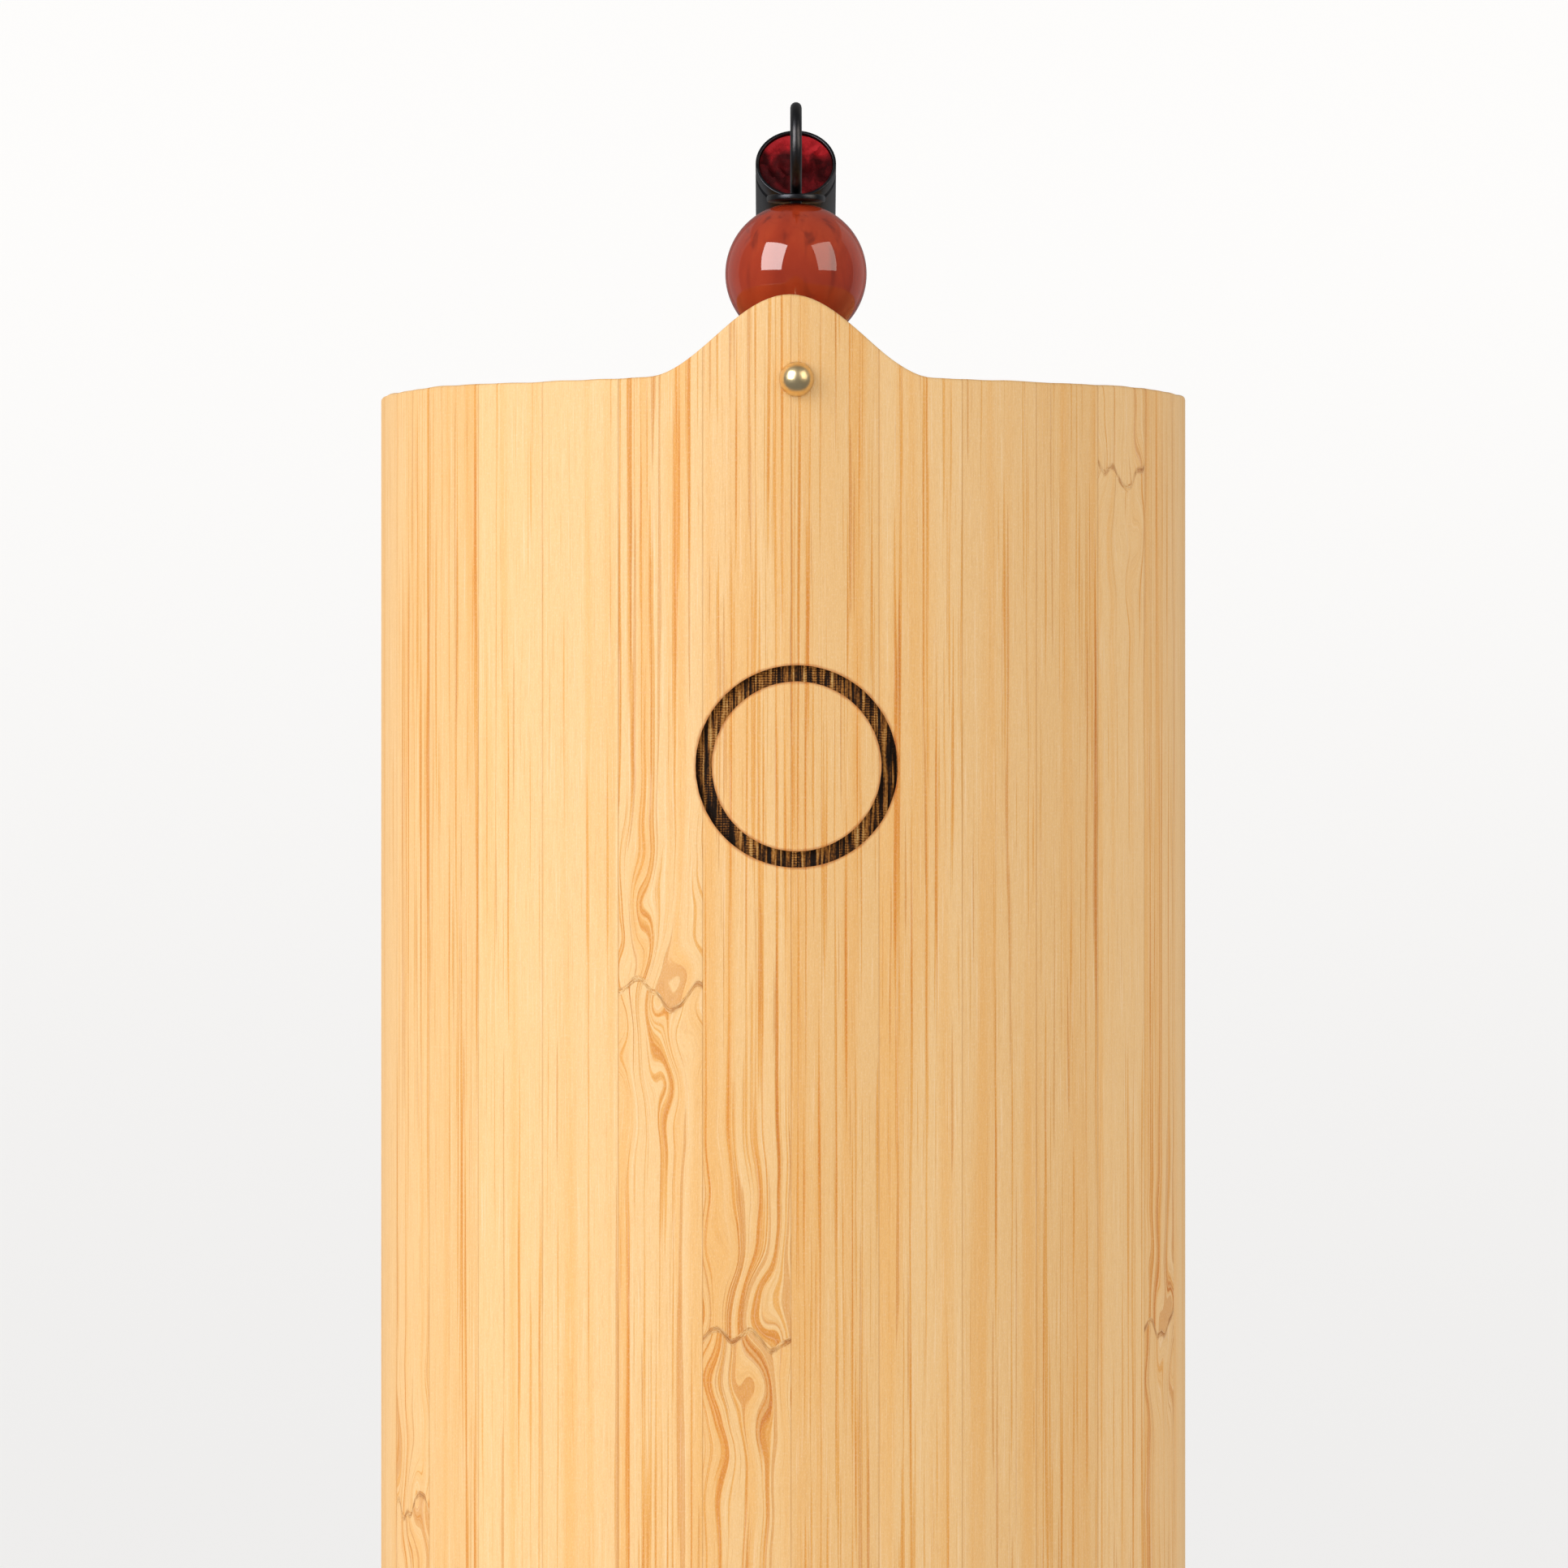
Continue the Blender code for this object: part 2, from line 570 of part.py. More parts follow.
def make_yoke(parent):
    """A U-shaped strap that rides on the rod astride the wire's eye and holds the striker's cord."""
    top = ROD_R + RUNNING + YOKE_WALL
    bridge_top = -YOKE_DROP
    bridge_bottom = -YOKE_DROP - YOKE_WALL
    half = YOKE_BREADTH / 2
    profile = [
        (-YOKE_OUTER, top),
        (-YOKE_INNER, top),
        (-YOKE_INNER, bridge_top),
        (YOKE_INNER, bridge_top),
        (YOKE_INNER, top),
        (YOKE_OUTER, top),
        (YOKE_OUTER, bridge_bottom),
        (-YOKE_OUTER, bridge_bottom),
    ]
    bm = bmesh.new()
    face = bm.faces.new([bm.verts.new((-half, y, z)) for y, z in profile])
    drawn = bmesh.ops.extrude_face_region(bm, geom=[face])
    moved = [v for v in drawn["geom"] if isinstance(v, bmesh.types.BMVert)]
    bmesh.ops.translate(bm, vec=(YOKE_BREADTH, 0, 0), verts=moved)
    yoke = put(mesh_object("striker_yoke", bm, "brass"), parent, (0, 0, ROD_Z))
    reach = 2 * YOKE_OUTER
    across = (ROD_R + RUNNING, (0, -reach, ROD_Z), (0, reach, ROD_Z))
    down = (CORD_R + 2 * RUNNING, (0, 0, BRIDGE_BOTTOM - YOKE_WALL), (0, 0, BRIDGE_TOP + YOKE_WALL))
    boolean(yoke, put(drill("yoke_rod_hole", [across]), parent, (0, 0, 0)), "DIFFERENCE")
    boolean(yoke, put(drill("yoke_cord_hole", [down]), parent, (0, 0, 0)), "DIFFERENCE")


def make_striker(parent):
    knot = turned("striker_knot_top", ball_outline(TOP_KNOT_WIDTH / 2, 6), 12, "dark_cord")
    put(knot, parent, (0, 0, TOP_KNOT_Z))
    cord_top = TOP_KNOT_Z - TOP_KNOT_WIDTH / 2 - FACE_GAP
    cord_end = DROP_Z + DROP_BEAD_WIDTH / 2 + SEAT_GAP
    cord = curve("striker_cord", [(0, 0, cord_top - TOP_KNOT_Z), (0, 0, cord_end - TOP_KNOT_Z)], CORD_WIDTH, "dark_cord")
    put(cord, parent, (0, 0, TOP_KNOT_Z))
    outline = rounded_ring_outline(CORD_R + RUNNING, STRIKER_WIDTH / 2, STRIKER_THICK, 1.6 * MM)
    put(turned("striker_disc", outline, 32, "hardwood", ring=True), parent, (0, 0, STRIKER_Z))
    knot_drop = STRIKER_THICK / 2 + FACE_GAP + KNOT_HEIGHT / 2
    outline = rounded_ring_outline(CORD_R + SNUG, KNOT_WIDTH / 2, KNOT_HEIGHT, KNOT_HEIGHT * 0.45)
    put(turned("striker_knot", outline, 16, "dark_cord", ring=True), parent, (0, 0, STRIKER_Z - knot_drop))


def make_drop_cord(link, parent):
    """The lower run of the cord, from a bead under the striker down through the base."""
    put(turned("drop_bead", ball_outline(DROP_BEAD_WIDTH / 2, 6), 12, "dark_cord"), link, (0, 0, DROP_Z))
    top = -DROP_BEAD_WIDTH / 2 - FACE_GAP
    end = GUIDE_Z + GUIDE_BEAD_WIDTH / 2 + 2 * SEAT_GAP - DROP_Z
    put(curve("drop_cord", [(0, 0, top), (0, 0, end)], CORD_WIDTH, "dark_cord"), parent, (0, 0, DROP_Z))


# ---- sail ------------------------------------------------------------------


def make_sail_line(guide, line):
    outline = ball_outline(GUIDE_BEAD_WIDTH / 2, 8)
    put(turned("guide_bead", outline, 16, "hardwood"), guide, (0, 0, GUIDE_Z))
    steps = math.ceil(SAIL_CORD_LENGTH / (3 * CORD_WIDTH))
    points = [(0, 0, SAIL_CORD_TOP - GUIDE_Z - SAIL_CORD_LENGTH * k / steps) for k in range(steps + 1)]
    put(curve("sail_cord", points, CORD_WIDTH, "dark_cord"), line, (0, 0, GUIDE_Z))
    knot = turned("sail_knot", ball_outline(SAIL_KNOT_WIDTH / 2, 6), 12, "dark_cord")
    put(knot, line, (0, 0, SAIL_KNOT_Z))


def make_sail(parent):
    """A thin round sail that hangs by its rim from a small wire ring."""
    points = [(0, RING_R * math.sin(a), RING_R * math.cos(a)) for a in (math.tau * k / 24 for k in range(24))]
    put(wire("sail_ring", points, RING_WIRE, "brass", closed=True), parent, (0, 0, RING_Z))
    half = SAIL_THICK / 2
    edge = SAIL_THICK / 4
    radius = SAIL_WIDTH / 2
    outline = [(0, -half), (radius - edge, -half), (radius, -half + edge), (radius, half - edge)]
    outline += [(radius - edge, half), (0, half)]
    sail = put(turned("sail_disc", outline, 56, "pale_wood"), parent, (0, 0, SAIL_Z), ALONG_Y)
    hole = (SAIL_HOLE / 2, (0, -SAIL_THICK, SAIL_HOLE_Z), (0, SAIL_THICK, SAIL_HOLE_Z))
    boolean(sail, put(drill("sail_hole", [hole]), parent, (0, 0, 0)), "DIFFERENCE")


def main():
    clear_scene()
    hanger = pivot("pivot_hanger", 0)
    make_hanger(hanger)
    make_bead(pivot("pivot_bead", BEAD_MIDDLE))
    tube = pivot("pivot_tube", ROD_Z)
    make_tube(tube)
    make_rod(tube)
    make_bottom(tube)
    make_yoke(pivot("pivot_yoke", ROD_Z))
    make_striker(pivot("pivot_striker", TOP_KNOT_Z))
    make_drop_cord(pivot("pivot_drop_side", DROP_Z), pivot("pivot_drop_fore", DROP_Z))
    make_sail_line(pivot("pivot_guide", GUIDE_Z), pivot("pivot_sail_line", GUIDE_Z))
    make_sail(pivot("pivot_sail", RING_Z))


main()
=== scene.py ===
"""The looks of a hanging bamboo wind chime, built around its frame. Metres, +Z up, front towards -Y."""

import math

import bmesh
import bpy
from mathutils import Matrix, Vector, noise


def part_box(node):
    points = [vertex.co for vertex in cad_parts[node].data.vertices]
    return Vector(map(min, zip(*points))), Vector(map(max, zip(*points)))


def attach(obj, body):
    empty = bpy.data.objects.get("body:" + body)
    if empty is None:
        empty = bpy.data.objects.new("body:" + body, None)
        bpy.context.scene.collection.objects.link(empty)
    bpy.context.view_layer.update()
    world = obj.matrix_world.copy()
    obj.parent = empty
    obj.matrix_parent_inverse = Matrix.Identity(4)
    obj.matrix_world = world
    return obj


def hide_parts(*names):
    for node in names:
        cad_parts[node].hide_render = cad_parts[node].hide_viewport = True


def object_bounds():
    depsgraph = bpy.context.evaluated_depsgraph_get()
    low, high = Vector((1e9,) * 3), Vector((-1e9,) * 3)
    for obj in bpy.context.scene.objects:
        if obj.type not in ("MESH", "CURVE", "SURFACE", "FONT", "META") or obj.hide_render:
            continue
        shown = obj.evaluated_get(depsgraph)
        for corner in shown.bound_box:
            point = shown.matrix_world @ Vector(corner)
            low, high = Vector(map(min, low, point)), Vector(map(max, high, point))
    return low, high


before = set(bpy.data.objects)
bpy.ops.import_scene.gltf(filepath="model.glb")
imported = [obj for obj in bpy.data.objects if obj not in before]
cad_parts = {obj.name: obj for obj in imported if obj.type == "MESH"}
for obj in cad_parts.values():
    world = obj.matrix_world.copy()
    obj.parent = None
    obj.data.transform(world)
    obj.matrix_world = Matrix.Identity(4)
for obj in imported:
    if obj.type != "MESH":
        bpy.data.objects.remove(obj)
cad_low, cad_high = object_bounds()

MM = 0.001

# ---- sizes read from the frame ---------------------------------------------


def middle(node):
    low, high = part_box(node)
    return (Vector(low) + Vector(high)) / 2


def extent(node):
    low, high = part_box(node)
    return Vector(high) - Vector(low)


EAR_HEIGHT = 6.0 * MM
EAR_HALF_ARC = 11.2 * MM
EAR_SHIFT = 0.5 * MM  # along the rim, from the tube's front line to the top of the ear
TUBE_X = middle("resonator_tube").x
TUBE_R = extent("resonator_tube").x / 2
TUBE_WALL = 2.2 * MM
TUBE_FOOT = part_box("resonator_tube")[0][2]
RIM_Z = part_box("resonator_tube")[1][2] - EAR_HEIGHT
ROD_Z = middle("cross_rod").z
LOOP_WIRE = 0.9 * MM
CORD_WIDTH = extent("sail_cord").x

RING_WIDTH = 15.0 * MM  # the plain engraved ring, outer width
RING_LINE = 1.2 * MM
RING_DEPTH = 0.5 * MM
RING_Z = RIM_Z - 29.0 * MM

ROD_R = 0.75 * MM
ROD_BORE = 0.8 * MM  # radius of what the rod passes through
SLEEVE_TILT = math.radians(30)
BACKDROP_BELOW = 0.66  # from the sail's foot down to the floor

# ---- camera ----------------------------------------------------------------


LENS = 164.7  # mm, on a sensor 36 mm wide
CAMERA_AWAY = 0.563
CAMERA_ASIDE = 0.06 * MM
CAMERA_BELOW_RIM = 30.3 * MM


def make_camera():
    """A long lens, level, in front of the tube's upper part."""
    data = bpy.data.cameras.new("camera")
    data.sensor_width = 36
    data.lens = LENS
    data.clip_end = 50
    camera = bpy.data.objects.new("camera", data)
    camera.location = (TUBE_X + CAMERA_ASIDE, -CAMERA_AWAY, RIM_Z - CAMERA_BELOW_RIM)
    camera.rotation_euler = (math.pi / 2, 0, 0)
    bpy.context.scene.collection.objects.link(camera)
    bpy.context.scene.camera = camera


# ---- shader arithmetic -----------------------------------------------------


class Value:
    """A socket that takes part in arithmetic. Each operator adds its Math node."""

    def __init__(self, paint, socket):
        self.paint = paint
        self.socket = socket

    def math(self, operation, *others):
        return self.paint.node("Math", {"operation": operation}, dict(enumerate((self, *others))))

    def __add__(self, other):
        return self.math("ADD", other)

    __radd__ = __add__

    def __mul__(self, other):
        return self.math("MULTIPLY", other)

    __rmul__ = __mul__

    def __sub__(self, other):
        return self.math("SUBTRACT", other)

    def __rsub__(self, other):
        return self.paint.node("Math", {"operation": "SUBTRACT"}, {0: other, 1: self})

    def __truediv__(self, other):
        return self.math("DIVIDE", other)

    def __neg__(self):
        return self * -1

    def __abs__(self):
        return self.math("ABSOLUTE")


class Paint:
    """A material under construction."""

    def __init__(self, name, **constants):
        self.material = bpy.data.materials.new(name)
        self.material.use_nodes = True
        self.tree = self.material.node_tree
        self.shader = self.tree.nodes["Principled BSDF"]
        for socket, value in constants.items():
            self.shader.inputs[socket.replace("_", " ")].default_value = value

    def feed(self, socket, value):
        if isinstance(value, Value):
            self.tree.links.new(value.socket, socket)
        elif socket.type == "RGBA" and len(value) == 3:
            socket.default_value = (*value, 1)
        else:
            socket.default_value = value

    def node(self, kind, settings=None, inputs=None, out=0):
        made = self.tree.nodes.new("ShaderNode" + kind)
        for key, value in (settings or {}).items():
            if key == "stops":
                self.set_stops(made.color_ramp, value)
            else:
                setattr(made, key, value)
        for key, value in (inputs or {}).items():
            self.feed(made.inputs[key], value)
        return Value(self, made.outputs[out])

    @staticmethod
    def set_stops(ramp, stops):
        while len(ramp.elements) < len(stops):
            ramp.elements.new(1.0)
        for element, (place, colour) in zip(ramp.elements, stops):
            element.position = place
            element.color = (*colour, 1)

    def place(self, origin=(0, 0, 0)):
        """Object coordinates in millimetres from an origin, as x, y and z."""
        spot = self.node("TexCoord", out=3)
        moved = self.node("VectorMath", {"operation": "SUBTRACT"}, {0: spot, 1: origin})
        scaled = self.node("VectorMath", {"operation": "SCALE"}, {0: moved, 3: 1000.0})
        return [self.node("SeparateXYZ", {}, {0: scaled}, out=k) for k in range(3)]

    def vector(self, x, y, z):
        return self.node("CombineXYZ", {}, {0: x, 1: y, 2: z})

    def noise(self, x, y, z, detail=2.0, rough=0.5, twist=0.0):
        inputs = {
            "Vector": self.vector(x, y, z),
            "Scale": 1.0,
            "Detail": detail,
            "Roughness": rough,
            "Distortion": twist,
        }
        return self.node("TexNoise", {"noise_dimensions": "3D"}, inputs)

    def random(self, value, seed=0.0):
        return self.node("TexWhiteNoise", {"noise_dimensions": "1D"}, {"W": value + seed})

    def rise(self, value, low, high):
        """0 below low, 1 above high, with a smooth step between. Low may be the greater of the two."""
        if low > high:
            return 1 - self.rise(value, high, low)
        limits = {"Value": value, "From Min": low, "From Max": high}
        return self.node("MapRange", {"interpolation_type": "SMOOTHSTEP"}, limits)

    def mix(self, factor, first, second, blend="MIX"):
        settings = {"data_type": "RGBA", "blend_type": blend}
        return self.node("Mix", settings, {0: factor, 6: first, 7: second}, out=2)

    def ramp(self, factor, stops):
        return self.node("ValToRGB", {"stops": stops}, {0: factor})

    def bump(self, height, depth):
        """A normal from a height of 0 to 1 that stands for a depth in millimetres."""
        return self.node("Bump", {}, {"Strength": 1.0, "Distance": depth * MM, "Height": height})

    def done(self, **links):
        for socket, value in links.items():
            self.feed(self.shader.inputs[socket.replace("_", " ")], value)
        return self.material


# ---- materials -------------------------------------------------------------

BURN_PITCH = 0.19  # mm between the burning tool's passes
STRIP_COUNT = 30
STRIP_EDGE = 0.6  # mm round the tube from its front line to the nearest glue line
KNUCKLES = (  # which strip, counted from the front line, and how high over the rim in mm
    (-2, -46),
    (-1, -71.5),
    (4, -6),
    (5, -72),
    (-6, -86),
    (8, -38),
    (11, -104),
    (-10, -60),
    (-13, -22),
    (2, -128),
)


def bamboo_strips(paint, x, y):
    """How far round the tube a point is, its strip, and how far across that strip of what width, in mm."""
    radius = TUBE_R / MM
    width = math.tau * radius / STRIP_COUNT
    around = x.math("ARCTAN2", -y) * radius
    count = (around - STRIP_EDGE) / width
    strip = count.math("FLOOR").math("FLOORED_MODULO", STRIP_COUNT)
    across = count.math("FRACT") * width
    return around, strip, across, width


def ring_distance(paint, x, z):
    """How far a point is from the ring's middle line, and how high over the ring's centre, in mm."""
    high = z - (RING_Z - RIM_Z) / MM
    aside = x + TUBE_X / MM
    from_centre = (aside * aside + high * high).math("SQRT")
    return abs(from_centre - (RING_WIDTH - RING_LINE) / MM / 2), high


def char_colour(paint, across, strip, high):
    """The groove's floor: black and amber fibres along the tube, burnt across them in fine steps."""
    fibre = paint.noise(across * 2.7, high * 0.13, strip * 3.0 + 60, detail=2.0, rough=0.75)
    grit = paint.noise(across * 6.0, high * 5.0, strip + 9, detail=2.0)
    patch = paint.noise(across * 0.5, high * 0.35, strip + 21, detail=1.0)
    step = (high * (math.tau / BURN_PITCH) + fibre * 9.0).math("SINE") * paint.rise(patch, 0.45, 0.6)
    burn = (fibre - 0.5) * 1.7 + (grit - 0.5) * 0.35 + step * 0.08 + (patch - 0.5) * 0.3 + 0.49
    stops = [
        (0.34, (0.010, 0.003, 0.000)),
        (0.45, (0.055, 0.019, 0.003)),
        (0.54, (0.19, 0.066, 0.009)),
        (0.66, (0.46, 0.19, 0.035)),
        (0.85, (0.68, 0.44, 0.16)),
    ]
    return paint.ramp(burn, stops), burn


def bamboo_paint():
    """Rolled bamboo: glued strips with long fibre lines, knuckles, end grain and a charred ring."""
    paint = Paint("rolled_bamboo", Specular_IOR_Level=0.15)
    x, y, z = paint.place((TUBE_X, 0, RIM_Z))
    around, strip, across, width = bamboo_strips(paint, x, y)
    tone = paint.random(strip, 4.3)
    crowd = paint.random(strip, 11.9) - 0.5

    bend, ridge, jump = 0.0, 0.0, 0.0
    for which, height in KNUCKLES:
        here = strip.math("COMPARE", which % STRIP_COUNT, 0.5)
        arch = paint.noise(across * 0.35, 0.0, which * 3.1, detail=1.0) - 0.5
        off = z - height + arch * 7.0
        bend = bend + here * (off * off / -95.0).math("EXPONENT")
        ridge = ridge + here * (off * off / -0.05).math("EXPONENT")
        jump = jump + here * paint.rise(off, -0.3, 0.3)
    sway = paint.noise(across * 0.25, z * 0.11, strip * 7.7, detail=1.0) - 0.5
    bent = across + bend * sway * 8.0
    flow = z * 0.02 + jump * 9.0

    thin = paint.noise(bent * 2.6, flow, strip * 13.7, detail=2.0, rough=0.7)
    bold = paint.noise(bent * 1.3, flow * 0.8, strip * 17.3 + 70, detail=2.0, rough=0.75)
    wide = paint.noise(bent * 0.7, flow * 0.6, strip * 5.1 + 40, detail=1.0)
    hair = paint.noise(bent * 9.0, z * 0.12 + jump * 5.0, strip * 2.3, detail=1.0)
    fine = paint.noise(bent * 16.0, z * 0.9, strip * 2.9, detail=2.0, rough=0.7)
    fleck = paint.noise(across * 13.0, z * 5.0, strip, detail=2.0, rough=0.7)

    lines = paint.rise(thin + crowd * 0.11 + bend * 0.02, 0.59, 0.635)
    core = paint.rise(thin + crowd * 0.11 + bend * 0.03, 0.66, 0.70)
    dark = paint.rise(bold + crowd * 0.08 + bend * 0.05, 0.65, 0.67)
    streak = paint.rise(wide + crowd * 0.1, 0.46, 0.72)
    threads = paint.rise(hair, 0.62, 0.74)
    pale = paint.rise(hair, 0.40, 0.26)

    colour = paint.mix(tone, (0.90, 0.585, 0.268), (0.84, 0.515, 0.212))
    colour = paint.mix(streak * 0.7, colour, (0.98, 0.82, 0.54), blend="MULTIPLY")
    colour = paint.mix(lines * 0.9, colour, (0.92, 0.72, 0.40), blend="MULTIPLY")
    colour = paint.mix(core * 0.8, colour, (0.87, 0.66, 0.37), blend="MULTIPLY")
    colour = paint.mix(dark * 0.65, colour, (0.80, 0.56, 0.30), blend="MULTIPLY")
    colour = paint.mix(threads * 0.5, colour, (0.93, 0.80, 0.58), blend="MULTIPLY")
    colour = paint.mix(pale * 0.2, colour, (1.0, 0.84, 0.62))
    grey = paint.rise(fine, 0.42, 0.7)
    colour = paint.mix(grey * 0.55, colour, (0.90, 0.82, 0.74), blend="MULTIPLY")
    colour = paint.mix(paint.rise(fleck, 0.46, 0.75) * 0.2, colour, (1.0, 0.86, 0.66))
    faint = paint.rise(paint.noise(across * 0.9, z * 0.3, strip + 33, detail=2.0), 0.38, 0.6)
    crest = ridge.math("MINIMUM", 1.0) * faint
    colour = paint.mix(crest * 0.75, colour, (0.62, 0.40, 0.26), blend="MULTIPLY")

    seam = paint.rise(abs(across - width / 2), width / 2 - 0.08, width / 2 - 0.01)
    colour = paint.mix(seam * 0.45, colour, (0.74, 0.54, 0.34), blend="MULTIPLY")

    distance, high = ring_distance(paint, x, z)
    half = RING_LINE / MM / 2
    depth = (x * x + y * y).math("SQRT") - TUBE_R / MM
    reach = RING_WIDTH / MM / 2
    near = paint.rise(abs(high), reach + 1.3, reach + 0.9) * paint.rise(y, 1.0, -1.0)
    near = near * paint.rise(depth, -1.2, -1.0)
    patchy = paint.noise(around * 1.5, z * 1.5, 5.0, detail=1.0)
    scorch = paint.rise(distance - patchy * 0.16, half + 0.16, half - 0.08) * near
    colour = paint.mix(scorch * 0.8, colour, (0.62, 0.36, 0.20), blend="MULTIPLY")
    cut = paint.rise(depth, -0.03, -0.09) * near
    char, burn = char_colour(paint, across, strip, high)
    wall = paint.rise(depth, -0.44, -0.36)
    char = paint.mix(wall * (burn * 0.6 + 0.2), char, (0.36, 0.14, 0.03))
    colour = paint.mix(cut, colour, char)

    thick = TUBE_WALL / MM
    end = paint.rise(depth, -0.1, -0.3) * paint.rise(depth, -thick + 0.1, -thick + 0.3) * (1 - near)
    dots = paint.rise(paint.noise(x * 5.0, y * 5.0, 0.0, detail=2.0), 0.48, 0.62)
    colour = paint.mix(end * (dots * 0.5 + 0.3), colour, (0.66, 0.42, 0.24), blend="MULTIPLY")

    relief = fleck * 0.15 + fine * 0.2 - lines * 0.25 - dark * 0.3 - seam * 0.6
    relief = relief + ridge * 0.5 + bend * sway * 2.0 + burn * cut * 3.0
    rough = 0.5 + lines * 0.1 + cut * 0.3
    return paint.done(Base_Color=colour, Roughness=rough, Normal=paint.bump(relief, 0.04))


def wood_paint(name, light, dark, origin, along="x", band_width=1.6):
    """Plain turned wood: growth bands across one way and pores along the other."""
    paint = Paint(name, Specular_IOR_Level=0.35)
    x, y, z = paint.place(origin)
    if along == "z":
        x, z = z, x
    drift = paint.noise(x * 0.018, y * 0.1, z * 0.1, detail=1.0) * 5.0
    band = ((y * 0.5 + z + drift) * (math.tau / band_width)).math("SINE") * 0.5 + 0.5
    strength = paint.noise(x * 0.01, y * 0.3, z * 0.3, detail=2.0)
    fibre = paint.noise(x * 0.2, y * 6.0, z * 6.0, detail=3.0, rough=0.65)
    pore = paint.rise(paint.noise(x * 0.3, y * 9.0, z * 9.0, detail=1.0), 0.62, 0.72)
    colour = paint.mix(band * strength * 0.7 + fibre * 0.45, light, dark)
    deep = tuple(0.4 * c for c in dark)
    colour = paint.mix(pore * 0.6, colour, deep)
    relief = fibre * 0.5 - pore * 0.8 + band * 0.2
    return paint.done(Base_Color=colour, Roughness=0.42 + fibre * 0.2, Normal=paint.bump(relief, 0.04))


def metal_paint(name, colour, worn, roughness, scale=(1.0, 1.0, 1.0), mark=0.35):
    """Metal with drawn or polished marks along its long way, and patches where its finish has aged."""
    paint = Paint(name, Metallic=1.0)
    x, y, z = paint.place()
    marks = paint.noise(x * scale[0] * 6, y * scale[1] * 6, z * scale[2] * 6, detail=3.0, rough=0.7)
    patch = paint.rise(paint.noise(x * 0.6, y * 0.6, z * 0.6, detail=3.0), 0.45, 0.7)
    shade = paint.mix(patch * 0.5 + marks * mark, colour, worn)
    rough = roughness + marks * 0.12 + patch * 0.08
    return paint.done(Base_Color=shade, Roughness=rough, Normal=paint.bump(marks, 0.006))


def jasper_paint():
    """Polished red-brown stone with soft dark veins that run down from its hole, and painted shade that
    darkens its lower half.
    """
    polish = {"Coat_Weight": 1.0, "Coat_IOR": 1.6, "Coat_Roughness": 0.04}
    paint = Paint("polished_jasper", **polish, Specular_IOR_Level=0.0)
    x, y, z = paint.place(tuple(middle("stone_bead")))
    cloud = paint.noise(x * 0.25, y * 0.25, z * 0.14, detail=3.0, twist=0.5)
    vein = paint.noise(x * 0.8 + 3.1, y * 0.8, z * 0.1, detail=2.0, twist=0.6)
    speck = paint.noise(x * 5.0, y * 5.0, z * 3.0, detail=3.0, rough=0.7)
    line = paint.rise(vein, 0.58, 0.72) * paint.rise(z + cloud * 8, 0.0, 6.0)
    soft = paint.rise(vein, 0.5, 0.7)
    reds = [(0.3, (0.32, 0.030, 0.009)), (0.5, (0.42, 0.045, 0.013)), (0.7, (0.49, 0.062, 0.018))]
    colour = paint.ramp(cloud, reds)
    colour = paint.mix(soft * 0.4, colour, (0.20, 0.018, 0.008))
    colour = paint.mix(line * 0.45, colour, (0.10, 0.012, 0.007))
    colour = paint.mix(speck * 0.25, colour, (0.33, 0.028, 0.008))
    # painted shade: the stone's colour darkens towards the bottom of the bead
    colour = paint.mix(paint.rise(z, -1.0, -5.5) * 0.45, colour, (0.22, 0.016, 0.005))
    return paint.done(Base_Color=colour, Roughness=0.5 + soft * 0.1)


def red_cord_paint():
    """The melted and crumpled end of a dyed cord, with painted shade in its folds and towards its bottom."""
    paint = Paint("red_cord_end", Specular_IOR_Level=0.06)
    x, y, z = paint.place(tuple(middle("red_cord_stub")))
    fold = paint.noise(x * 0.7, y * 0.7, z * 0.7, detail=2.0, twist=0.5)
    fibre = paint.noise(x * 7.0, y * 7.0, z * 7.0, detail=2.0)
    # painted shade: the red is lighter higher up and darker towards the bottom
    painted_light_above = paint.rise(z + fold * 1.5, 3.2, 5.4)
    # painted shade: the fold noise and the height take the red towards black in the folds and low down
    depth = fold * 0.5 + painted_light_above * 0.35 + 0.06
    stops = [
        (0.26, (0.03, 0.001, 0.002)),
        (0.42, (0.18, 0.006, 0.009)),
        (0.56, (0.42, 0.012, 0.018)),
        (0.75, (0.62, 0.03, 0.04)),
    ]
    colour = paint.mix(fibre * 0.3, paint.ramp(depth, stops), (0.14, 0.004, 0.006))
    relief = paint.bump(fibre * 0.3 + fold, 0.12)
    return paint.done(Base_Color=colour, Roughness=0.7 + fibre * 0.2, Normal=relief)


def cord_paint():
    """Dark waxed cord: each ply has fine filaments that catch the light."""
    paint = Paint("dark_cord", Sheen_Weight=0.3)
    x, y, z = paint.place()
    strand = paint.noise(x * 9.0, y * 9.0, z * 3.0, detail=3.0, rough=0.7)
    colour = paint.mix(paint.rise(strand, 0.35, 0.7), (0.018, 0.012, 0.010), (0.085, 0.055, 0.042))
    return paint.done(Base_Color=colour, Roughness=0.6 + strand * 0.3, Normal=paint.bump(strand, 0.05))


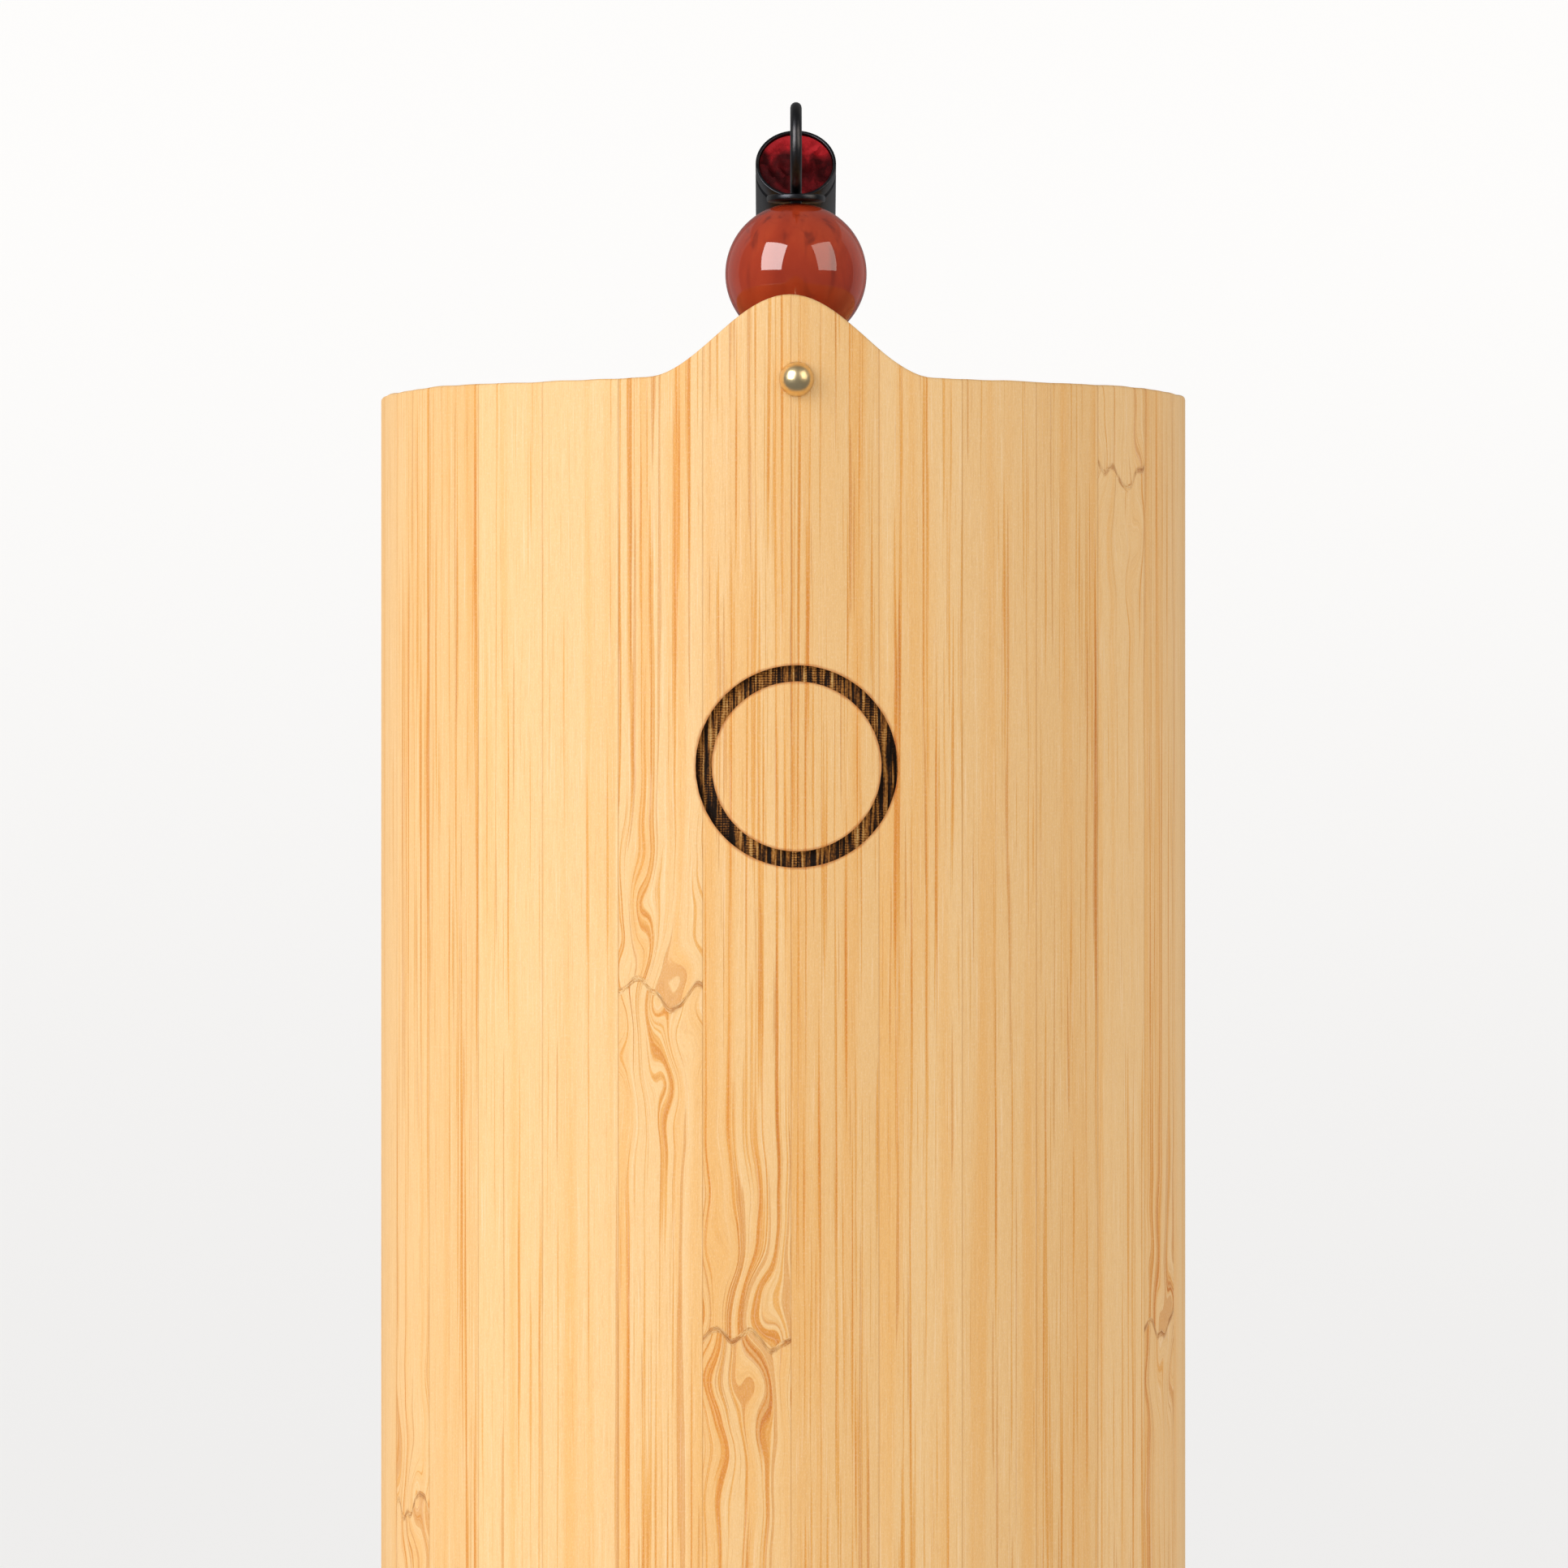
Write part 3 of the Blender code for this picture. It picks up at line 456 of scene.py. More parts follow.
def make_materials():
    bead = tuple(middle("guide_bead"))
    sail = tuple(middle("sail_disc"))
    oiled = ((0.34, 0.165, 0.07), (0.17, 0.07, 0.028))
    pale = ((0.84, 0.56, 0.30), (0.62, 0.33, 0.12))
    wire_black = ((0.035, 0.037, 0.042), (0.10, 0.09, 0.085))
    plate_black = ((0.028, 0.030, 0.036), (0.09, 0.085, 0.08))
    steel = ((0.74, 0.75, 0.77), (0.46, 0.46, 0.48))
    return {
        "bamboo": bamboo_paint(),
        "hardwood": wood_paint("oiled_hardwood", *oiled, bead),
        "pale_wood": wood_paint("pale_sail_wood", *pale, sail, along="z", band_width=2.4),
        "brass": metal_paint("turned_brass", (0.95, 0.78, 0.46), (0.62, 0.45, 0.21), 0.24),
        "steel": metal_paint("drawn_steel", *steel, 0.2, scale=(3.0, 3.0, 0.08)),
        "black_wire": metal_paint("blackened_wire", *wire_black, 0.3, mark=0.2),
        "black_metal": metal_paint("black_plating", *plate_black, 0.26, mark=0.2),
        "jasper": jasper_paint(),
        "red_cord": red_cord_paint(),
        "dark_cord": cord_paint(),
    }


# ---- modelling -------------------------------------------------------------

ALONG_Y = Matrix.Rotation(-math.pi / 2, 4, "X")  # turns a piece made about Z so that it runs along +Y


def turned(outline, sides, ring=False):
    """A shape spun about Z from (radius, height) points. A ring's outline closes on itself, off the axis."""
    bm = bmesh.new()
    verts = [bm.verts.new((radius, 0, height)) for radius, height in outline]
    edges = [bm.edges.new(pair) for pair in zip(verts, verts[1:])]
    if ring:
        edges.append(bm.edges.new((verts[-1], verts[0])))
    spun = {"axis": (0, 0, 1), "cent": (0, 0, 0), "angle": math.tau, "use_merge": True}
    bmesh.ops.spin(bm, geom=verts + edges, steps=sides, **spun)
    bmesh.ops.remove_doubles(bm, verts=bm.verts, dist=1e-7)
    bmesh.ops.recalc_face_normals(bm, faces=bm.faces)
    return bm


def bevel(bm, edges, width, segments):
    bmesh.ops.bevel(
        bm,
        geom=edges,
        offset=width,
        segments=segments,
        profile=0.5,
        affect="EDGES",
        clamp_overlap=True,
        material=-1,
    )


def soften(bm, width, segments=3, over=30):
    """Rounds every edge that is sharper than an angle in degrees."""
    limit = math.radians(over)
    sharp = [e for e in bm.edges if len(e.link_faces) == 2 and e.calc_face_angle(0) > limit]
    bevel(bm, sharp, width, segments)
    return bm


def moved(bm, place, turn=None):
    matrix = Matrix.Translation(place)
    if turn is not None:
        matrix = matrix @ turn
    bmesh.ops.transform(bm, matrix=matrix, verts=bm.verts)
    return bm


def drill(holes, sides=48):
    """Round cutters in one bmesh. Each hole is (radius, start, end)."""
    bm = bmesh.new()
    for radius, start, end in holes:
        along = Vector(end) - Vector(start)
        spot = Matrix.Translation((Vector(start) + Vector(end)) / 2)
        turn = along.to_track_quat("Z", "Y").to_matrix().to_4x4()
        bmesh.ops.create_cone(
            bm,
            cap_ends=True,
            segments=sides,
            radius1=radius,
            radius2=radius,
            depth=along.length,
            matrix=spot @ turn,
        )
    return bm


def cut(bm, *tools, operation="DIFFERENCE"):
    """Takes tools away from a shape, or joins them to it. All are used up, and a new bmesh comes back."""
    base = bpy.data.objects.new("work", bpy.data.meshes.new("work"))
    bm.to_mesh(base.data)
    bm.free()
    bpy.context.scene.collection.objects.link(base)
    helpers = [base]
    for tool in tools:
        helper = bpy.data.objects.new("tool", bpy.data.meshes.new("tool"))
        tool.to_mesh(helper.data)
        tool.free()
        bpy.context.scene.collection.objects.link(helper)
        modifier = base.modifiers.new("cut", "BOOLEAN")
        modifier.operation = operation
        modifier.object = helper
        helpers.append(helper)
    result = bmesh.new()
    result.from_object(base, bpy.context.evaluated_depsgraph_get())
    for helper in helpers:
        mesh = helper.data
        bpy.data.objects.remove(helper)
        bpy.data.meshes.remove(mesh)
    return result


def wire(points, width, closed=False, sides=5):
    """A round wire through points."""
    data = bpy.data.curves.new("wire", "CURVE")
    data.dimensions = "3D"
    spline = data.splines.new("POLY")
    spline.points.add(len(points) - 1)
    for spot, point in zip(spline.points, points):
        spot.co = (*point, 1)
    spline.use_cyclic_u = closed
    data.bevel_depth = width / 2
    data.bevel_resolution = sides
    data.use_fill_caps = not closed
    path = bpy.data.objects.new("wire", data)
    bpy.context.scene.collection.objects.link(path)
    mesh = bpy.data.meshes.new_from_object(path.evaluated_get(bpy.context.evaluated_depsgraph_get()))
    bpy.data.objects.remove(path)
    bpy.data.curves.remove(data)
    bm = bmesh.new()
    bm.from_mesh(mesh)
    bpy.data.meshes.remove(mesh)
    bmesh.ops.remove_doubles(bm, verts=bm.verts, dist=1e-7)
    bmesh.ops.recalc_face_normals(bm, faces=bm.faces)
    return bm


def finish_piece(name, bm, body, slot, *nodes, smooth=35):
    """Makes an object of a bmesh, gives it its material, hangs it on its body and hides the CAD parts that
    it replaces.
    """
    mesh = bpy.data.meshes.new(name)
    bm.to_mesh(mesh)
    bm.free()
    mesh.shade_smooth()
    mesh.set_sharp_from_angle(angle=math.radians(smooth))
    mesh.materials.append(materials[slot])
    piece = bpy.data.objects.new(name, mesh)
    bpy.context.scene.collection.objects.link(piece)
    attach(piece, body)
    if nodes:
        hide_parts(*nodes)
    return piece


def flat_ring(inner, outer, low, high):
    return [(inner, low), (outer, low), (outer, high), (inner, high)]


def ball(radius, steps, bore=0.0):
    """Half a circle from pole to pole, or a drilled ball's ring outline if it has a bore."""
    start = math.asin(bore / radius)
    angles = [start + (math.pi - 2 * start) * k / steps for k in range(steps + 1)]
    return [(radius * math.sin(a), -radius * math.cos(a)) for a in angles]


# ---- cords -----------------------------------------------------------------


def twisted_cord(top, length):
    """A three-ply cord laid straight down from top, of the CAD cord's width."""
    radius = CORD_WIDTH / 2
    lay = 3.2 * MM  # length of one turn of the plies
    bm = bmesh.new()
    sides = 18
    ring = []
    for k in range(sides):
        angle = math.tau * k / sides
        lobe = radius * (0.86 + 0.14 * abs(math.cos(1.5 * angle)))
        ring.append(bm.verts.new((top[0] + lobe * math.cos(angle), top[1] + lobe * math.sin(angle), top[2])))
    start = bm.faces.new(ring)
    steps = max(2, round(length / (0.4 * MM)))
    bmesh.ops.spin(
        bm,
        geom=[*ring, *start.edges],
        cent=top,
        axis=(0, 0, 1),
        dvec=(0, 0, -length / steps),
        angle=math.tau * length / lay,
        steps=steps,
    )
    bm.faces.remove(start)
    bmesh.ops.holes_fill(bm, edges=[e for e in bm.edges if e.is_boundary], sides=sides)
    bmesh.ops.recalc_face_normals(bm, faces=bm.faces)
    return bm


def make_sail_cord():
    low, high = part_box("sail_cord")
    length = high[2] - low[2]
    route = [(0, 0, high[2] - length * k / 24) for k in range(25)]
    laid = twisted_cord(route[0], length)
    cord = finish_piece("sail_cord_laid", laid, "sail_line", "dark_cord", "sail_cord")
    knot = make_knot("sail_knot_tied", "sail_line", "sail_knot")


def make_knot(name, body, node):
    """An overhand knot pulled tight, inside the space that its CAD solid holds."""
    centre = middle(node)
    half = extent(node) / 2
    radius = CORD_WIDTH * 0.36
    points = []
    count = 60
    for k in range(count):
        t = math.tau * k / count
        x = math.sin(t) + 2 * math.sin(2 * t)
        y = math.cos(t) - 2 * math.cos(2 * t)
        z = -math.sin(3 * t)
        points.append(
            (
                centre.x + x / 3 * (half.x - radius),
                centre.y + y / 3 * (half.y - radius),
                centre.z + z * max(half.z - radius, radius * 0.8),
            )
        )
    knot = wire(points, 2 * radius, closed=True, sides=3)
    return finish_piece(name, knot, body, "dark_cord", node, smooth=80)


def make_inner_cords():
    for node, body in (("striker_cord", "striker"), ("drop_cord", "drop_line")):
        low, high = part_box(node)
        top = (middle(node).x, middle(node).y, high[2])
        finish_piece(node + "_laid", twisted_cord(top, high[2] - low[2]), body, "dark_cord", node)


# ---- hanger ----------------------------------------------------------------


def make_hanger_wire():
    """One wire: the loop, the stem through the bead, the eye round the rod and the prong in the sleeve."""
    rise = 3.15 * MM  # half height of the loop's middle line
    straight = 0.8 * MM
    loop_z = -2.7 * MM
    steps = 28
    points = []
    for side, first in ((1, -math.pi / 2), (-1, math.pi / 2)):
        for k in range(steps + 1):
            angle = first + math.pi * k / steps
            points.append((0, side * straight + rise * math.cos(angle), loop_z + rise * math.sin(angle)))
    loop = wire(points, LOOP_WIRE, closed=True)
    eye_r = 1.3 * MM
    turns = [math.tau * (k + 0.5) / 47 for k in range(47)]
    round_rod = [(eye_r * math.sin(a), 0, ROD_Z + eye_r * math.cos(a)) for a in turns]
    eye = wire(round_rod, LOOP_WIRE, closed=True)
    stem = drill([(LOOP_WIRE / 2, (0, 0, ROD_Z + eye_r), (0, 0, loop_z - rise))], sides=22)
    mouth = Vector((0, 6.5 * MM, -3.25 * MM))
    back = Vector((0, math.cos(SLEEVE_TILT), -math.sin(SLEEVE_TILT)))
    strand = mouth - back * (mouth.y - straight - rise) / math.cos(SLEEVE_TILT)
    prong = drill([(0.35 * MM, strand, mouth + back * 2.5 * MM)], sides=15)
    shape = cut(loop, eye, stem, prong, operation="UNION")
    finish_piece("hanger_wire_bent", shape, "hanger", "black_wire", "hanger_wire")
    return mouth, back


def make_sleeve(mouth, back):
    """The black sleeve behind the loop with the crumpled red end of a cord in it."""
    lean = Matrix.Rotation(-math.pi / 2 - SLEEVE_TILT, 4, "X")
    length = 10.0 * MM
    outer = 3.2 * MM
    inner = 2.95 * MM
    groove = 0.12 * MM
    outline = [(inner, 0), (outer, 0)]
    for z in (1.1 * MM, length - 1.5 * MM):
        outline += [(outer, z), (outer - groove, z + 0.15 * MM)]
        outline += [(outer - groove, z + 0.35 * MM), (outer, z + 0.5 * MM)]
    outline += [(outer, length), (inner, length)]
    shape = moved(soften(turned(outline, 72, ring=True), 0.06 * MM), mouth, lean)
    finish_piece("cord_end_sleeve_fine", shape, "hanger", "black_metal", "cord_end_sleeve")

    cord_r = inner - 0.05 * MM
    cord_length = length - 0.35 * MM
    bm = turned([(0, 0), (cord_r, 0), (cord_r, cord_length), (0, cord_length)], 72)
    top = [f for f in bm.faces if all(abs(v.co.z) < 1e-7 for v in f.verts)]
    edges = list({e for f in top for e in f.edges})
    bmesh.ops.subdivide_edges(bm, edges=edges, cuts=18, use_grid_fill=True)
    for vert in bm.verts:
        if abs(vert.co.z) > 1e-7:
            continue
        spot = vert.co / MM
        fold = noise.fractal(Vector((spot.x * 0.55 + 7.3, spot.y * 0.55, 2.0)), 1.0, 2.0, 3)
        crease = abs(noise.noise(Vector((spot.x * 0.7, spot.y * 0.7, 9.0))))
        edge = min(1.0, (inner - vert.co.xy.length) / (0.7 * MM))
        vert.co.z = (0.25 + 0.9 * crease * edge - 0.6 * fold * edge) * MM
    hole = drill([(0.40 * MM, (0, 0, -1 * MM), (0, 0, 2.6 * MM))], sides=20)
    stub = cut(bm, hole)
    finish_piece("red_cord_end", moved(stub, mouth, lean), "hanger", "red_cord", "red_cord_stub", smooth=60)


def make_hanger_trim():
    bore = LOOP_WIRE / 2 + 0.05 * MM
    for node, sides in (("top_washer", 64), ("bead_stop", 48)):
        size = extent(node)
        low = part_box(node)[0][2]
        shape = turned(flat_ring(bore, size.x / 2, 0, size.z), sides, ring=True)
        shape = moved(soften(shape, 0.14 * MM), (0, 0, low))
        finish_piece(node + "_fine", shape, "hanger", "black_metal", node)


def make_bead():
    """A drilled ball with the edges of its hole broken."""
    size = extent("stone_bead")
    bore = LOOP_WIRE / 2 + 0.1 * MM
    shape = soften(turned(ball(size.x / 2, 48, bore), 96, ring=True), 0.12 * MM)
    finish_piece("jasper_bead", moved(shape, middle("stone_bead")), "bead", "jasper", "stone_bead")


# ---- tube ------------------------------------------------------------------


def ear_rise(angle):
    """Height of the rim over its level part, at an angle about the tube's own middle line."""
    shift = EAR_SHIFT / TUBE_R
    ears = (-math.pi / 2 + shift, math.pi / 2 - shift)
    from_ear = min(abs(angle - ear) for ear in ears) * TUBE_R
    if from_ear >= EAR_HALF_ARC:
        return 0.0
    return EAR_HEIGHT * math.cos(math.pi / 2 * from_ear / EAR_HALF_ARC) ** 2


def rim_wear(angle):
    """How far the hand-sanded rim dips under its level part."""
    slow = noise.noise(Vector((math.cos(angle) * 2.2, math.sin(angle) * 2.2, 4.0)))
    quick = noise.noise(Vector((math.cos(angle) * 14, math.sin(angle) * 14, 8.0)))
    return (0.10 + 0.16 * slow + 0.07 * quick) * MM


def ring_cutter():
    """The ring-shaped groove: a strip spun round, laid on the groove's floor and drawn out past the wall."""
    floor_r = TUBE_R - RING_DEPTH
    outer = RING_WIDTH / 2
    bm = bmesh.new()
    verts = [bm.verts.new((r, 0, RING_Z)) for r in (outer - RING_LINE, outer - RING_LINE / 2, outer)]
    edges = [bm.edges.new(pair) for pair in zip(verts, verts[1:])]
    spun = {"cent": (0, 0, RING_Z), "axis": (0, 1, 0), "angle": math.tau, "use_merge": True}
    bmesh.ops.spin(bm, geom=verts + edges, steps=120, **spun)
    unsteady = 0.03 * MM
    for vert in bm.verts:
        vert.co.x += unsteady * noise.noise(vert.co / MM * 1.7)
        vert.co.y = -math.sqrt(floor_r**2 - (vert.co.x - TUBE_X) ** 2)
    drawn = bmesh.ops.extrude_face_region(bm, geom=bm.faces[:])
    for vert in drawn["geom"]:
        if isinstance(vert, bmesh.types.BMVert):
            vert.co.y = -TUBE_R - 1 * MM
    bmesh.ops.recalc_face_normals(bm, faces=bm.faces)
    return bm


def make_tube():
    inner = TUBE_R - TUBE_WALL
    height = RIM_Z - TUBE_FOOT
    bm = turned(flat_ring(inner, TUBE_R, -height, 0), 360, ring=True)
    for vert in bm.verts:
        if vert.co.z > -height / 2:
            angle = math.atan2(vert.co.y, vert.co.x)
            rise = ear_rise(angle)
            vert.co.z += rise - rim_wear(angle) * (1 - rise / EAR_HEIGHT)
    soften(bm, 0.22 * MM, segments=3, over=60)
    moved(bm, (TUBE_X, 0, RIM_Z))
    reach = TUBE_R + 2 * MM
    holes = drill([(ROD_BORE, (0, -reach, ROD_Z), (0, reach, ROD_Z))])
    shape = cut(bm, ring_cutter(), holes)
    finish_piece("bamboo_tube", shape, "chime_body", "bamboo", "resonator_tube")


def make_rod():
    """The polished cross rod with its domed caps, collars and spacers."""
    length = extent("cross_rod").y
    half = length / 2
    shape = soften(turned([(0, -half), (ROD_R, -half), (ROD_R, half), (0, half)], 40), 0.12 * MM)
    shape = moved(shape, (0, 0, ROD_Z), ALONG_Y)
    finish_piece("cross_rod_fine", shape, "chime_body", "brass", "cross_rod")
    dome = 1.22 * MM
    dome_height = 1.2 * MM
    lift = 0.25 * MM
    flange = 1.28 * MM
    socket = 0.9 * MM
    turns = [math.pi / 2 * k / 16 for k in range(16)]
    arc = [(dome * math.cos(a), lift + dome_height * math.sin(a)) for a in turns]
    cap = [(0, socket), (ROD_BORE, socket), (ROD_BORE, 0), (flange, 0), (flange, 0.1 * MM)]
    cap += [(1.24 * MM, 0.18 * MM), *arc, (0, lift + dome_height)]
    for side, which in ((-1, "front"), (1, "rear")):
        turn = Matrix.Rotation(-side * math.pi / 2, 4, "X")
        low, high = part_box(f"{which}_rod_cap")
        face = low[1] if side > 0 else high[1]
        finish_piece(
            f"{which}_rod_cap_fine",
            moved(turned(cap, 64), (0, face, ROD_Z), turn),
            "chime_body",
            "brass",
            f"{which}_rod_cap",
        )
        for node in (f"{which}_rod_collar", f"{which}_spacer"):
            size = extent(node)
            shape = turned(flat_ring(ROD_BORE, size.x / 2, -size.y / 2, size.y / 2), 48, ring=True)
            shape = moved(soften(shape, 0.15 * MM), middle(node), ALONG_Y)
            finish_piece(node + "_fine", shape, "chime_body", "brass", node)


# ---- bottom ----------------------------------------------------------------


def make_bottom():
    """The wooden base with its bush, and the tone plate with its screws and brazed rods."""
    size = extent("base_disc")
    centre = middle("base_disc")
    half = size.z / 2
    disc = turned([(0, -half), (size.x / 2, -half), (size.x / 2, half), (0, half)], 160)
    disc = moved(soften(disc, 0.6 * MM, segments=4), centre)
    tone_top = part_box("tone_plate")[1][2]
    spots = [middle(f"plate_screw_{k}") for k in (1, 2, 3)]
    above = tone_top + 1 * MM
    shanks = [(1.3 * MM, (s.x, s.y, centre.z - 1.2 * MM), (s.x, s.y, above)) for s in spots]
    bush = [(3.25 * MM, (0, 0, centre.z - size.z), (0, 0, centre.z + size.z))]
    disc = cut(disc, drill(shanks + bush))
    finish_piece("base_disc_turned", disc, "chime_body", "hardwood", "base_disc")

    size = extent("tone_plate")
    plate = turned(flat_ring(5 * MM, size.x / 2, 0, size.z), 128, ring=True)
    plate = moved(soften(plate, 0.3 * MM), (TUBE_X, 0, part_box("tone_plate")[0][2]))
    rods = [middle(f"tone_rod_{k}") for k in range(1, 9)]
    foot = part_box("tone_rod_1")[0][2]
    sockets = [(1.55 * MM, (r.x, r.y, foot - 0.1 * MM), (r.x, r.y, above)) for r in rods]
    plate = cut(plate, drill(sockets + shanks))
    finish_piece("tone_plate_turned", plate, "chime_body", "steel", "tone_plate")

    rod_r = 1.5 * MM
    braze_r = 1.52 * MM
    reach = 1.1 * MM  # how far the braze spreads over the plate and up the rod
    arc = [math.pi / 2 * n / 6 for n in range(7)]
    hollow = [(braze_r + reach * (1 - math.cos(a)), reach * (1 - math.sin(a))) for a in arc]
    for k, rod in enumerate(rods, 1):
        node = f"tone_rod_{k}"
        length = extent(node).z
        shape = turned([(0, 0), (rod_r, 0), (rod_r, length), (0, length)], 40)
        shape = moved(soften(shape, 0.3 * MM, segments=4), (rod.x, rod.y, foot))
        finish_piece(node + "_drawn", shape, "chime_body", "steel", node)
        braze = turned([(braze_r, 0), *reversed(hollow)], 40, ring=True)
        finish_piece(f"braze_{k}", moved(braze, (rod.x, rod.y, tone_top)), "chime_body", "brass")

    for k, spot in enumerate(spots, 1):
        make_screw(k, spot, tone_top)

    low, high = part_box("cord_grommet")
    bore = 2.0 * MM
    flange = 0.8 * MM
    flange_r = 5 * MM
    neck_r = 3.2 * MM
    height = high[2] - low[2]
    outline = [(bore, 0), (flange_r, 0), (flange_r, flange)]
    outline += [(neck_r, flange), (neck_r, height), (bore, height)]
    bush = moved(soften(turned(outline, 96, ring=True), 0.25 * MM, segments=4), (0, 0, low[2]))
    finish_piece("cord_bush", bush, "chime_body", "brass", "cord_grommet")


def make_screw(number, spot, plate_top):
    """A pan-head screw with a slot. Its thread is in the wood, out of sight."""
    node = f"plate_screw_{number}"
    low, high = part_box(node)
    seat = plate_top + 0.1 * MM
    head = high[2] - seat
    shank = 1.2 * MM
    head_r = 2.2 * MM
    point = low[2] - seat
    outline = [(0, point), (shank, point + 2 * shank), (shank, 0), (head_r, 0), (head_r, head * 0.5)]
    outline += [(1.6 * MM, head * 0.9), (0.8 * MM, head), (0, head)]
    shape = soften(turned(outline, 48), 0.08 * MM, over=40)
    slot = bmesh.new()
    size = Matrix.Diagonal((5.0 * MM, 0.5 * MM, 0.9 * MM, 1))
    turn = Matrix.Rotation(math.radians(37 * number), 4, "Z")
    bmesh.ops.create_cube(slot, size=1.0, matrix=Matrix.Translation((0, 0, head)) @ turn @ size)
    shape = cut(shape, slot)
    finish_piece(node + "_slotted", moved(shape, (spot.x, spot.y, seat)), "chime_body", "steel", node)


# ---- striker ---------------------------------------------------------------


def make_yoke():
    """A strip bent to a U that hangs on the rod, with the cord through its bottom."""
    low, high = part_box("striker_yoke")
    wall = 0.7 * MM
    half = (high[0] - low[0]) / 2
    bm = bmesh.new()
    size = Vector(high) - Vector(low)
    centre = (Vector(low) + Vector(high)) / 2
    bmesh.ops.create_cube(bm, size=1.0, matrix=Matrix.Translation(centre) @ Matrix.Diagonal((*size, 1)))
    upright = [e for e in bm.edges if e.verts[0].co.z != e.verts[1].co.z]
    corners = [e for e in upright if abs(e.verts[0].co.x - e.verts[1].co.x) < 1e-9]
    gap = bmesh.new()
    hollow = Matrix.Diagonal((4 * half, size.y - 2 * wall, size.z, 1))
    bmesh.ops.create_cube(gap, size=1.0, matrix=Matrix.Translation(centre + Vector((0, 0, wall))) @ hollow)
    bevel(bm, corners, 0.6 * MM, 4)
    rod = drill([(0.85 * MM, (0, low[1] - MM, ROD_Z), (0, high[1] + MM, ROD_Z))])
    cord = drill([(0.8 * MM, (0, 0, low[2] - MM), (0, 0, low[2] + 2 * MM))])
    shape = soften(cut(bm, gap, rod, cord), 0.08 * MM, over=50)
    finish_piece("striker_yoke_formed", shape, "yoke", "brass", "striker_yoke")


def make_striker():
    size = extent("striker_disc")
    bore = CORD_WIDTH / 2 + 0.1 * MM
    half = size.z / 2
    rim = size.x / 2
    shape = turned(flat_ring(bore, rim, -half, half), 128, ring=True)
    corner = [e for e in shape.edges if all(abs(v.co.xy.length - rim) < 1e-6 for v in e.verts)]
    corner = [e for e in corner if abs(e.verts[0].co.z - e.verts[1].co.z) < 1e-9]
    bevel(shape, corner, 1.6 * MM, 8)
    shape = moved(shape, middle("striker_disc"))
    finish_piece("striker_turned", shape, "striker", "hardwood", "striker_disc")
    make_knot("striker_knot_upper", "striker", "striker_knot_top")
    make_knot("striker_knot_lower", "striker", "striker_knot")
    make_knot("drop_knot", "drop_link", "drop_bead")


# ---- sail ------------------------------------------------------------------


def make_sail():
    size = extent("guide_bead")
    shape = turned(ball(size.z / 2, 32), 64)
    shape = moved(shape, middle("guide_bead"))
    finish_piece("guide_bead_turned", shape, "guide", "hardwood", "guide_bead")

    size = extent("sail_ring")
    centre = middle("sail_ring")
    radius = (size.y - size.x) / 2
    turns = [math.tau * k / 64 for k in range(64)]
    points = [(0, radius * math.sin(a), centre.z + radius * math.cos(a)) for a in turns]
    finish_piece("sail_ring_fine", wire(points, size.x, closed=True), "sail", "brass", "sail_ring")

    size = extent("sail_disc")
    centre = middle("sail_disc")
    half = size.y / 2
    rim = size.x / 2
    shape = turned([(0, -half), (rim, -half), (rim, half), (0, half)], 160)
    shape = moved(soften(shape, 0.5 * MM, segments=4), centre, ALONG_Y)
    hole_z = centre.z + rim - 3 * MM
    hole = drill([(1.2 * MM, (0, -5 * MM, hole_z), (0, 5 * MM, hole_z))])
    finish_piece("sail_disc_cut", cut(shape, hole), "sail", "pale_wood", "sail_disc")


# ---- studio ----------------------------------------------------------------


